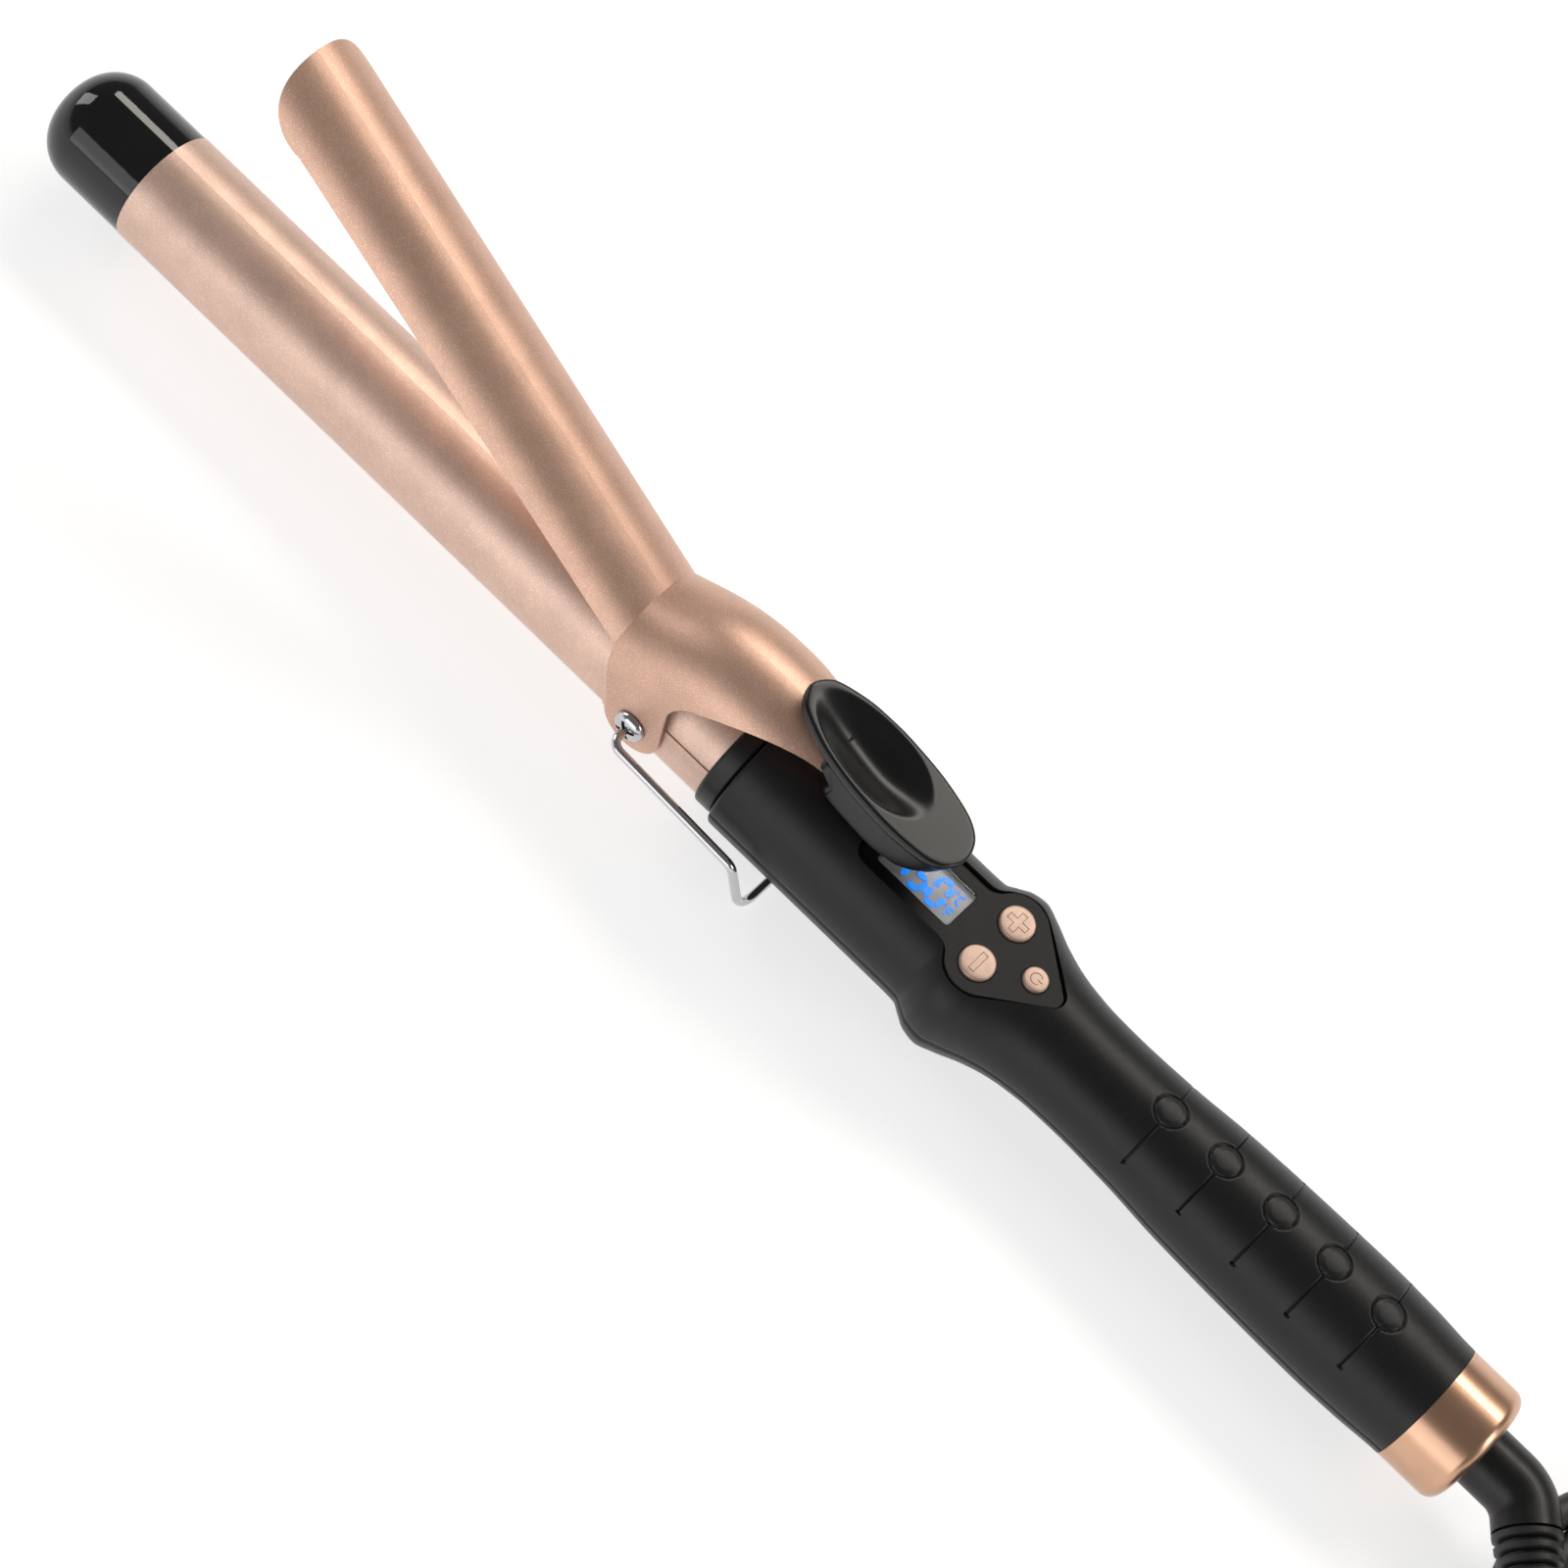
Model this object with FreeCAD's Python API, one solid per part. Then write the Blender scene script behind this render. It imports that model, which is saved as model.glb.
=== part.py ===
"""Curling iron with a sprung clip, a folding wire stand, push buttons and a swivel cord.

Millimetres. The modelling frame has X along the barrel's axis, from the cool tip towards the
handle's end, Z up through the clip, and Y along the clip's hinge. The last step moves every
solid so that the origin is under the middle of the iron, on the surface that it lies on.
"""
import FreeCAD
import Part
import math
import os

# ---- driving dimensions -------------------------------------------------------------------

# stations along the axis
TIP_X = -195.8
CAP_SEAM_X = -169.9
HINGE_X = -28.2
COLLAR_X = -10.8
HANDLE_X = -6.0
RING_X = 167.5
RING_END_X = 180.8
BEND_X = 192.4

# radii
BARREL_R = 12.7
BARREL_WALL = 1.0
CAP_R = 12.6
COLLAR_R = 13.9
RING_R = 13.2
SWIVEL_R = 6.7
WIRE_R = 0.95
CORD_D = 6.0

# clip
OPEN_DEG = 26.4
CLIP_R = 14.0
CLIP_SHEET = 0.65
CLIP_LENGTH = 138.2
CREASE_X = -39.6
EAR_R = 6.8

# stand
ARM_Y = 19.8
KNEE_X = 2.5
KNEE_Z = -2.0
CROSSBAR_X = 10.5
CROSSBAR_Y = 17.6
CROSSBAR_Z = -17.5
WIRE_BEND = 3.0

# handle
WALL = 2.2
PARTING_Z = -2.0
PANEL_Z = 12.2
PANEL_THICK = 1.4
PANEL_UNDER_Z = PANEL_Z - PANEL_THICK

FIT = 0.06          # radial clearance of a shaft in its hole
SMALL = 0.2         # gap between neighbours that don't touch

AXIS_HEIGHT = WIRE_R - CROSSBAR_Z
MIDDLE_X = (TIP_X + RING_END_X) / 2
TO_ROW_FRAME = FreeCAD.Vector(-MIDDLE_X, 0, AXIS_HEIGHT)

X_AXIS = FreeCAD.Vector(1, 0, 0)
Y_AXIS = FreeCAD.Vector(0, 1, 0)
Z_AXIS = FreeCAD.Vector(0, 0, 1)
HINGE = FreeCAD.Vector(HINGE_X, 0, 0)
BIG = 200.0


def at(x, y, z):
    """A point."""
    return FreeCAD.Vector(x, y, z)


def save(name, shape):
    """Writes one sub-part in the row frame."""
    solid = shape.copy()
    solid.translate(TO_ROW_FRAME)
    if len(solid.Solids) == 1:
        solid = solid.Solids[0]
    solid.exportStep(os.path.join("parts", name + ".step"))
    print(f"{name:24s} solids {len(solid.Solids)} valid {solid.isValid()} volume {solid.Volume:10.2f}")


# ---- simple solids ------------------------------------------------------------------------

def rod_x(radius, start, end, y=0.0, z=0.0):
    """A cylinder along X."""
    return Part.makeCylinder(radius, end - start, at(start, y, z), X_AXIS)


def rod_y(radius, start, end, x=0.0, z=0.0):
    """A cylinder along Y."""
    return Part.makeCylinder(radius, end - start, at(x, start, z), Y_AXIS)


def rod_z(radius, start, end, x=0.0, y=0.0):
    """A cylinder along Z."""
    return Part.makeCylinder(radius, end - start, at(x, y, start), Z_AXIS)


def tube_x(outer, inner, start, end):
    """A pipe along X."""
    return rod_x(outer, start, end).cut(rod_x(inner, start - 1, end + 1))


def box(x0, x1, y0, y1, z0, z1):
    """A box between two corners."""
    return Part.makeBox(x1 - x0, y1 - y0, z1 - z0, at(x0, y0, z0))


def turned_edges(edges):
    """A solid of revolution about the X axis, from edges of a closed profile in the XZ plane."""
    return Part.Face(Part.Wire(Part.__sortEdges__(edges))).revolve(at(0, 0, 0), X_AXIS, 360)


def line(a, b):
    """A straight edge."""
    return Part.LineSegment(a, b).toShape()


def arc(a, middle, b):
    """A circular edge through three points."""
    return Part.Arc(a, middle, b).toShape()


def upright_edges(solid):
    """The straight edges of a solid that run along Z."""
    return [edge for edge in solid.Edges if abs(edge.tangentAt(edge.FirstParameter).z) > math.sqrt(0.5)]


def side_prism(edges, half_width=BIG):
    """The solid between y = -half_width and +half_width of a closed outline in the XZ plane."""
    face = Part.Face(Part.Wire(Part.__sortEdges__(edges)))
    solid = face.extrude(at(0, 2 * half_width, 0))
    solid.translate(at(0, -half_width, 0))
    return solid


def swept(points, bend, radius):
    """A round bar along straight runs joined by tangent arcs of the given bend radius."""
    edges = []
    last = points[0]
    for before, corner, after in zip(points, points[1:], points[2:]):
        arrive = (corner - before).normalize()
        leave = (after - corner).normalize()
        half_turn = arrive.getAngle(leave) / 2
        reach = bend * math.tan(half_turn)
        start = corner - arrive * reach
        end = corner + leave * reach
        inward = (leave - arrive).normalize()
        middle = corner + inward * (bend / math.cos(half_turn) - bend)
        edges.append(line(last, start))
        edges.append(arc(start, middle, end))
        last = end
    edges.append(line(last, points[-1]))
    path = Part.Wire(edges)
    circle = Part.Wire(Part.Circle(points[0], (points[1] - points[0]).normalize(), radius).toShape())
    return path.makePipeShell([circle], True, False)


# ---- barrel and tip -----------------------------------------------------------------------

BARREL_IN_HANDLE = 12.0
BORE_R = BARREL_R - BARREL_WALL
SPIGOT = 9.0
NOSE = 9.8          # length of the cap's rounded end
CROWN_R = 3.2       # radius of its nearly flat middle
CROWN_SAG = 0.5
HEATER_X = (-150.0, -60.0)
HEATER_HALF = (5.0, 1.2)
CLAMP_X = (-157.0, -52.0)
LEAD_Y = 4.2
LEAD_R = 0.7
INSULATOR_X = (HANDLE_X - 4.0, HANDLE_X + 2.0)
COLLAR_FILLET = 0.9
SNUG = 0.02         # clearance between parts that are pressed together


def barrel_tube():
    """The heated barrel, a plain tube with holes for the hinge screws."""
    barrel = tube_x(BARREL_R, BORE_R, CAP_SEAM_X, BARREL_IN_HANDLE)
    return barrel.cut(rod_y(SCREW_R, -BIG, BIG, HINGE_X))


def tip_cap():
    """The cool tip: a rounded plastic cap with a spigot in the barrel's mouth."""
    shoulder = TIP_X + NOSE
    crown = TIP_X + CROWN_SAG
    middle_x = crown + (NOSE - CROWN_SAG) * (1 - math.sqrt(0.5))
    middle_r = CROWN_R + (CAP_R - CROWN_R) * math.sqrt(0.5)
    back = CAP_SEAM_X + SPIGOT
    edges = [
        arc(at(TIP_X, 0, 0), at(TIP_X + CROWN_SAG / 4, 0, CROWN_R / 2), at(crown, 0, CROWN_R)),
        arc(at(crown, 0, CROWN_R), at(middle_x, 0, middle_r), at(shoulder, 0, CAP_R)),
        line(at(shoulder, 0, CAP_R), at(CAP_SEAM_X, 0, CAP_R)),
        line(at(CAP_SEAM_X, 0, CAP_R), at(CAP_SEAM_X, 0, BORE_R)),
        line(at(CAP_SEAM_X, 0, BORE_R), at(back, 0, BORE_R)),
        line(at(back, 0, BORE_R), at(back, 0, 0)),
        line(at(back, 0, 0), at(TIP_X, 0, 0)),
    ]
    return turned_edges(edges)


def heater_plate():
    """The flat ceramic heating element."""
    half_y, half_z = HEATER_HALF
    return box(HEATER_X[0], HEATER_X[1], -half_y, half_y, -half_z, half_z)


def heater_clamp(side):
    """One of two aluminium half-rounds that carry the heat to the barrel: side is +1 or -1."""
    half = rod_x(BORE_R, CLAMP_X[0], CLAMP_X[1])
    low, high = sorted((0, side * BIG))
    half = half.common(box(CLAMP_X[0], CLAMP_X[1], -BIG, BIG, low, high))
    half_y, half_z = HEATER_HALF
    slot = box(CLAMP_X[0] - 1, CLAMP_X[1] + 1, -half_y - SMALL, half_y + SMALL, -half_z, half_z)
    sensor_seat = rod_x(SENSOR_R, SENSOR_X[0], SENSOR_X[1] + BIG, z=SENSOR_Z)
    return half.cut(slot).cut(sensor_seat)


SENSOR_R = 1.5
SENSOR_X = (-66.0, -50.0)
SENSOR_Z = 5.0


def temperature_sensor():
    """The bead that measures the barrel's heat."""
    return rod_x(SENSOR_R, SENSOR_X[0], SENSOR_X[1], z=SENSOR_Z)


def barrel_insulator():
    """A ceramic disc that keeps the barrel's heat out of the handle; the wires pass through it."""
    disc = rod_x(BORE_R, *INSULATOR_X)
    for y in (-LEAD_Y, LEAD_Y):
        disc = disc.cut(rod_x(LEAD_R, -BIG, BIG, y))
    return disc


def barrel_bush():
    """The heat-proof sleeve that the handle's halves clamp around the barrel's end."""
    outer = STATIONS[0][1] - WALL - SNUG
    return tube_x(outer, BARREL_R, HANDLE_X + SMALL, BARREL_IN_HANDLE - SMALL)


def lead_wire(y):
    """One of the two wires from the swivel's contacts to the heater."""
    return rod_x(LEAD_R, HEATER_X[1], CONTACT_X[0], y)


def heat_collar():
    """The rounded ring where the barrel leaves the handle."""
    end = HANDLE_X - SMALL
    collar = tube_x(COLLAR_R, BARREL_R + SNUG, COLLAR_X, end)
    rims = [edge for edge in collar.Edges if abs(edge.Length - 2 * math.pi * COLLAR_R) < SMALL]
    return collar.makeFillet(COLLAR_FILLET, rims)


# ---- hinge --------------------------------------------------------------------------------

SADDLE_R = 13.05
SADDLE_X = (-36.0, COLLAR_X)
SADDLE_TOP_Z = 4.4
SCREW_R = 2.5
HEAD_R = 3.45
HEAD_Y = (14.1, 16.0)
HEAD_DOME = 1.3
SCREW_END_Y = 10.2
WIRE_END_Y = 11.0


def hinge_saddle():
    """A half-round bracket under the barrel that carries the two hinge screws."""
    saddle = tube_x(SADDLE_R, BARREL_R, SADDLE_X[0], SADDLE_X[1])
    saddle = saddle.common(box(SADDLE_X[0], SADDLE_X[1], -BIG, BIG, -BIG, SADDLE_TOP_Z))
    return saddle.cut(rod_y(SCREW_R, -BIG, BIG, HINGE_X))


def hinge_screw(side):
    """A hollow screw through the clip's ear: side is -1 or +1 along Y."""
    shank = rod_y(SCREW_R, SCREW_END_Y, HEAD_Y[0], HINGE_X)
    head = rod_y(HEAD_R, HEAD_Y[0], HEAD_Y[1], HINGE_X)
    rim = [edge for edge in head.Edges if abs(edge.CenterOfMass.y - HEAD_Y[1]) < FIT]
    head = head.makeFillet(HEAD_DOME, rim[:1])
    screw = shank.fuse(head).removeSplitter()
    screw = screw.cut(rod_y(WIRE_R + FIT, -BIG, BIG, HINGE_X))
    if side < 0:
        screw = screw.mirror(at(0, 0, 0), Y_AXIS)
    return screw


# ---- clip ---------------------------------------------------------------------------------

TROUGH_EDGE_Z = 7.6      # the blade's long edges, above the barrel's axis when closed
TROUGH_CORNER = 14.5     # length of the rounded corners at the blade's tip
TONGUE_END_X = 26.0
STEEP_R = CLIP_R / math.cos(math.radians(OPEN_DEG))
CREST_Z = (HINGE_X - CREASE_X) * math.tan(math.radians(OPEN_DEG)) + STEEP_R
# the neck's arch along the axis: x, height of its top, rise of its arch
NECK = [
    (CREASE_X, CREST_Z, STEEP_R),
    (-33.7, 23.9, 14.4),
    (-26.5, 27.0, CLIP_R),
    (-16.6, 29.1, CLIP_R),
    (-6.0, 28.9, CLIP_R),
    (10.0, 26.8, CLIP_R),
    (TONGUE_END_X, 24.3, CLIP_R),
]
CREASE_EDGE_Z = 14.2                                  # the neck's edge at the crease
EAR_TOP_Z = 0.8                                       # where the ear's round part ends
NOTCH = ((-22.9, 10.5), (-22.1, 15.2), (-17.8, 19.4))   # the curve behind the ear
ARM_EDGE = ((-9.0, 23.4), (10.0, 25.0))               # the arm's lower edge
TONGUE_EDGE_Z = 22.8


def trough():
    """The half-round blade, made closed on the barrel and then opened about the hinge."""
    tip = HINGE_X - CLIP_LENGTH
    root = HINGE_X + CLIP_R
    blade = tube_x(CLIP_R, CLIP_R - CLIP_SHEET, tip, root)
    turn_x = tip + TROUGH_CORNER * (1 - math.sqrt(0.5))
    rise = CLIP_R - TROUGH_EDGE_Z
    turn_z = TROUGH_EDGE_Z + rise * (1 - math.sqrt(0.5))
    corner = at(tip + TROUGH_CORNER, 0, TROUGH_EDGE_Z)
    edge_end = at(root, 0, TROUGH_EDGE_Z)
    top = CLIP_R + CLIP_SHEET
    keep = side_prism([
        line(edge_end, corner),
        arc(corner, at(turn_x, 0, turn_z), at(tip, 0, CLIP_R)),
        line(at(tip, 0, CLIP_R), at(tip, 0, top)),
        line(at(tip, 0, top), at(root, 0, top)),
        line(at(root, 0, top), edge_end),
    ])
    blade = blade.common(keep)
    blade.rotate(HINGE, Y_AXIS, OPEN_DEG)
    return blade.common(box(-BIG, CREASE_X + FIT, -BIG, BIG, -BIG, BIG))


def arch(x, top, rise, inset):
    """A closed outline in the plane of x: a half-ellipse over two straight legs."""
    half = CLIP_R - inset
    centre = top - rise
    foot = -2 * EAR_R
    oval = Part.Ellipse(at(x, 0, top - inset), at(x, half, centre), at(x, 0, centre))
    if rise - inset < half:
        oval = Part.Ellipse(at(x, half, centre), at(x, 0, top - inset), at(x, 0, centre))
    whole = oval.toShape()
    wire_edges = list(whole.common(box(x - 1, x + 1, -BIG, BIG, centre, BIG)).Edges)
    wire_edges.append(line(at(x, -half, centre), at(x, -half, foot)))
    wire_edges.append(line(at(x, -half, foot), at(x, half, foot)))
    wire_edges.append(line(at(x, half, foot), at(x, half, centre)))
    return Part.Wire(Part.__sortEdges__(wire_edges))


def neck():
    """The arched neck, its two ears at the hinge and the tongue that carries the thumb rest."""
    outer = Part.makeLoft([arch(x, top, rise, 0) for x, top, rise in NECK], True, False)
    inner = Part.makeLoft([arch(x, top, rise, CLIP_SHEET) for x, top, rise in NECK], True, False)
    keep = side_prism(neck_outline())
    shell = outer.cut(inner).common(keep)
    return shell.cut(rod_y(SCREW_R + FIT, -BIG, BIG, HINGE_X))


def neck_outline():
    """The neck's outline seen from the side: the round ear, a notch behind it and the arm."""
    left = at(CREASE_X, 0, CREASE_EDGE_Z)
    ear_left = at(HINGE_X - EAR_R, 0, EAR_TOP_Z)
    ear_right = at(HINGE_X + EAR_R, 0, EAR_TOP_Z)
    bottom = at(HINGE_X, 0, -EAR_R)
    notch_low, notch_mid, notch_top = [at(x, 0, z) for x, z in NOTCH]
    arm_mid, arm_end = [at(x, 0, z) for x, z in ARM_EDGE]
    tongue = at(TONGUE_END_X, 0, TONGUE_EDGE_Z)
    top_right = at(TONGUE_END_X, 0, BIG)
    top_left = at(CREASE_X, 0, BIG)
    return [
        line(top_left, left),
        line(left, ear_left),
        arc(ear_left, bottom, ear_right),
        line(ear_right, notch_low),
        arc(notch_low, notch_mid, notch_top),
        arc(notch_top, arm_mid, arm_end),
        line(arm_end, tongue),
        line(tongue, top_right),
        line(top_right, top_left),
    ]


def clip_plate():
    """The clip: blade, neck, ears and tongue pressed from one sheet."""
    return trough().fuse(neck()).removeSplitter()


# ---- thumb rest ---------------------------------------------------------------------------

PAD_TILT = 9.5
PAD_REAR = 42.6
PAD_HALF = 8.35
PAD_THICK = 3.7
PAD_FRONT = FreeCAD.Vector(-5.9, 0, 34.1)
BASE_X = (16.6, 42.0)
BASE_HALF = 7.9
BASE_DEPTH = 10.6
SLOT_SPACE = 0.5
PAD_SIDE = ((3.2, 4.6), (9.5, 7.0), (20.0, PAD_HALF), (34.0, 7.3), (40.0, 4.9))
DISH_X = 20.0
DISH_HALF = (16.0, 6.6, 2.0)
PAD_SCREW_X = (22.0, 28.0)
PAD_SCREW_R = 1.1
PAD_SCREW_HEAD_R = 2.2
PAD_SCREW_HEAD_Z = (-10.0, -8.6)
PAD_SCREW_BITE = 1.2


def place_pad(solid):
    """Moves a solid from the thumb rest's own frame, x along it from its front, to the clip."""
    placed = solid.copy()
    placed.rotate(at(0, 0, 0), Y_AXIS, PAD_TILT)
    placed.translate(PAD_FRONT)
    return placed


def pad_outline():
    """The thumb rest from above: a pointed oval at the front, a rounded square at the rear."""
    near_side = [at(x, -y, 0) for x, y in reversed(PAD_SIDE)]
    far_side = [at(x, y, 0) for x, y in PAD_SIDE]
    rim = Part.BSplineCurve()
    rim.interpolate([at(0, 0, 0)] + far_side + [at(PAD_REAR, 0, 0)] + near_side, PeriodicFlag=True)
    return Part.Face(Part.Wire(rim.toShape()))


def thumb_pad():
    """The paddle under the thumb, with a hollow for it."""
    pad = pad_outline().extrude(at(0, 0, -PAD_THICK))
    dish = Part.makeSphere(1.0)
    stretch = FreeCAD.Matrix()
    stretch.scale(*DISH_HALF)
    dish = dish.transformGeometry(stretch)
    dish.translate(at(DISH_X, 0, 0))
    return place_pad(pad.cut(dish))


def thumb_base():
    """The block under the pad, slotted at the front for the clip's tongue."""
    block = box(BASE_X[0], BASE_X[1], -BASE_HALF, BASE_HALF, -BASE_DEPTH, -PAD_THICK)
    block = block.common(pad_outline().extrude(at(0, 0, -BIG)))
    arm_x, arm_top, _ = NECK[-3]
    end_x, end_top, _ = NECK[-1]
    corners = [
        at(arm_x, 0, arm_top + SLOT_SPACE),
        at(end_x + SMALL, 0, end_top + SLOT_SPACE),
        at(end_x + SMALL, 0, TONGUE_EDGE_Z - SMALL),
        at(arm_x, 0, TONGUE_EDGE_Z - SMALL),
    ]
    slot = side_prism([line(p, q) for p, q in zip(corners, corners[1:] + corners[:1])])
    return place_pad(block).cut(slot)


def thumb_screw(along):
    """A screw from below that holds the base, the tongue and the pad together."""
    low, high = PAD_SCREW_HEAD_Z
    head = rod_z(PAD_SCREW_HEAD_R, low, high, along)
    shank = rod_z(PAD_SCREW_R, high, -PAD_THICK + PAD_SCREW_BITE, along)
    return place_pad(head.fuse(shank).removeSplitter())


SPRING = ((-9.0, 26.9), (-24.5, 25.0), (-30.5, 18.5), (-24.0, 13.45), (-14.0, 13.6))
SPRING_HALF = 4.0
SPRING_THICK = 0.5


def clip_spring():
    """A bent leaf welded under the neck; its free end presses on the barrel."""
    points = [at(x, 0, z) for x, z in SPRING]
    outer = []
    for index, point in enumerate(points):
        before = points[max(index - 1, 0)]
        after = points[min(index + 1, len(points) - 1)]
        along = (after - before).normalize()
        outer.append(point + at(along.z, 0, -along.x) * SPRING_THICK)
    ribbon = Part.makePolygon(points + outer[::-1] + points[:1])
    leaf = Part.Face(ribbon).extrude(at(0, 2 * SPRING_HALF, 0))
    leaf.translate(at(0, -SPRING_HALF, 0))
    return leaf


# ---- stand --------------------------------------------------------------------------------

def wire_stand():
    """One bent wire: an end in each hinge screw, two arms and a crossbar under the handle."""
    knee = at(KNEE_X, -ARM_Y, KNEE_Z)
    foot = at(CROSSBAR_X, -CROSSBAR_Y, CROSSBAR_Z)
    half = [at(HINGE_X, -WIRE_END_Y, 0), at(HINGE_X, -ARM_Y, 0), knee, foot]
    other = [at(point.x, -point.y, point.z) for point in reversed(half)]
    return swept(half + other, WIRE_BEND, WIRE_R)


# ---- handle -------------------------------------------------------------------------------

def half_oval(half_y, half_z, power, inset, side):
    """Points of the half of a superellipse above (side +1) or below (-1) the parting plane."""
    count = 25
    wide = half_y - inset
    tall = half_z - inset
    start = math.copysign(math.asin((abs(PARTING_Z) / tall) ** (power / 2)), PARTING_Z * side)
    points = []
    for index in range(count):
        angle = start + (math.pi - 2 * start) * index / (count - 1)
        c = math.cos(angle)
        s = math.sin(angle)
        y = math.copysign(abs(c) ** (2 / power), c) * wide
        z = math.copysign(abs(s) ** (2 / power), s) * tall * side
        points.append((y, z))
    return points


def half_section(x, half_y, half_z, power, side):
    """A closed outline of the handle's wall on one side of the parting plane, at a station."""
    curves = []
    for inset in (0.0, WALL):
        curve = Part.BSplineCurve()
        curve.interpolate([at(x, y, z) for y, z in half_oval(half_y, half_z, power, inset, side)])
        curves.append(curve.toShape())
    outer, inner = curves
    starts = line(outer.Vertexes[0].Point, inner.Vertexes[0].Point)
    ends = line(outer.Vertexes[-1].Point, inner.Vertexes[-1].Point)
    return Part.Wire(Part.__sortEdges__([outer, ends, inner, starts]))


# the handle's section along the axis: x, half width, half height, superellipse power
STATIONS = [
    (HANDLE_X, 15.3, 15.3, 2.0),
    (6.0, 15.3, 15.3, 2.0),
    (20.0, 15.3, 15.3, 2.0),
    (32.0, 15.3, 15.3, 2.0),
    (40.0, 15.3, 15.3, 2.0),
    (43.8, 15.45, 15.3, 2.0),
    (46.2, 16.7, 15.3, 2.1),
    (49.0, 18.0, 15.3, 2.3),
    (52.0, 18.35, 15.2, 2.4),
    (56.0, 17.1, 14.8, 2.3),
    (61.0, 15.0, 14.1, 2.15),
    (66.0, 13.5, 13.3, 2.05),
    (70.0, 12.8, 12.8, 2.0),
    (76.0, 12.2, 12.2, 2.0),
    (83.0, 12.05, 12.05, 2.0),
    (96.0, 12.4, 12.4, 2.0),
    (110.0, 13.35, 13.35, 2.0),
    (127.0, 13.9, 13.9, 2.0),
    (146.0, 14.15, 14.15, 2.0),
    (157.0, 13.85, 13.85, 2.0),
    (RING_X, 13.25, 13.25, 2.0),
]


def handle_half(side):
    """The wall of the handle's upper (side +1) or lower (-1) half."""
    return Part.makeLoft([half_section(*station, side) for station in STATIONS], True, True)


LOBE_X = 51.2
LOBE_Y = 5.8
LOBE_R = 6.8
STRIP_HALF = 7.6
STRIP_X = 20.0
PANEL_TIP_X = 65.2
PANEL_TIP_R = 2.6
STRIP_CORNER = 2.5
RECESS_GAP = 0.15
SHELF = 1.0
LEDGE = 1.2


def panel_prism(grow, z0, z1):
    """The control panel's arrow shape from above, grown all round, between two heights."""
    strip = box(STRIP_X - grow, LOBE_X, -STRIP_HALF - grow, STRIP_HALF + grow, z0, z1)
    corners = [edge for edge in upright_edges(strip) if edge.CenterOfMass.x < LOBE_X - FIT]
    solid = strip.makeFillet(STRIP_CORNER, corners)
    reach = PANEL_TIP_X - LOBE_X
    span = math.hypot(reach, LOBE_Y)
    lean = math.atan2(LOBE_Y, reach) + math.asin((LOBE_R - PANEL_TIP_R) / span)
    hull = []
    for centre_x, centre_y, radius in ((LOBE_X, LOBE_Y, LOBE_R), (PANEL_TIP_X, 0.0, PANEL_TIP_R)):
        size = radius + grow
        hull.append(at(centre_x + math.sin(lean) * size, centre_y + math.cos(lean) * size, z0))
    mirrored = [at(point.x, -point.y, z0) for point in reversed(hull)]
    back = [at(LOBE_X, -LOBE_Y, z0), at(LOBE_X, LOBE_Y, z0)]
    wedge = Part.Face(Part.makePolygon(hull + mirrored + back + hull[:1])).extrude(at(0, 0, z1 - z0))
    solid = solid.fuse(wedge)
    for side in (-1, 1):
        solid = solid.fuse(rod_z(LOBE_R + grow, z0, z1, LOBE_X, side * LOBE_Y))
    solid = solid.fuse(rod_z(PANEL_TIP_R + grow, z0, z1, PANEL_TIP_X, 0))
    return solid.removeSplitter()


# each post: x, y, its top, its bottom and the height of its screw's seat
POSTS = {
    "near": (50.0, -13.4, 7.5, -8.0, -5.5),
    "far": (50.0, 13.4, 7.5, -8.0, -5.5),
    "rear": (125.0, 0.0, 12.5, -12.5, -9.0),
}
POST_R = 2.8
SCREW_SHANK_R = 1.1
SCREW_HEAD_R = 2.2
SCREW_BITE = 6.0
SCREW_HEAD = 1.6


def handle_upper_shell():
    """The handle's upper half, with the opening and the shelf for the control panel."""
    upper = handle_half(1)
    upper = upper.fuse(panel_prism(SHELF, PANEL_UNDER_Z - SHELF, PANEL_UNDER_Z))
    upper = upper.cut(panel_prism(RECESS_GAP, PANEL_UNDER_Z, BIG))
    upper = upper.cut(panel_prism(-LEDGE, 0, BIG))
    for x, y, top, _, _ in POSTS.values():
        upper = upper.fuse(rod_z(POST_R, PARTING_Z, top, x, y))
        upper = upper.cut(rod_z(SCREW_SHANK_R, PARTING_Z - 1, PARTING_Z + SCREW_BITE, x, y))
    return upper


def handle_lower_shell():
    """The handle's lower half, with a counterbored post for each screw."""
    lower = handle_half(-1)
    for x, y, _, bottom, seat in POSTS.values():
        lower = lower.fuse(rod_z(POST_R, bottom, PARTING_Z, x, y))
        lower = lower.cut(rod_z(SCREW_SHANK_R, seat - 1, PARTING_Z + 1, x, y))
        lower = lower.cut(rod_z(SCREW_HEAD_R, -BIG, seat, x, y))
    return lower


def handle_screw(x, y, seat):
    """A screw that pulls the handle's halves together from below."""
    head = rod_z(SCREW_HEAD_R, seat - SCREW_HEAD, seat, x, y)
    shank = rod_z(SCREW_SHANK_R, seat, PARTING_Z + SCREW_BITE, x, y)
    return head.fuse(shank).removeSplitter()


# ---- control panel ------------------------------------------------------------------------

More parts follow.
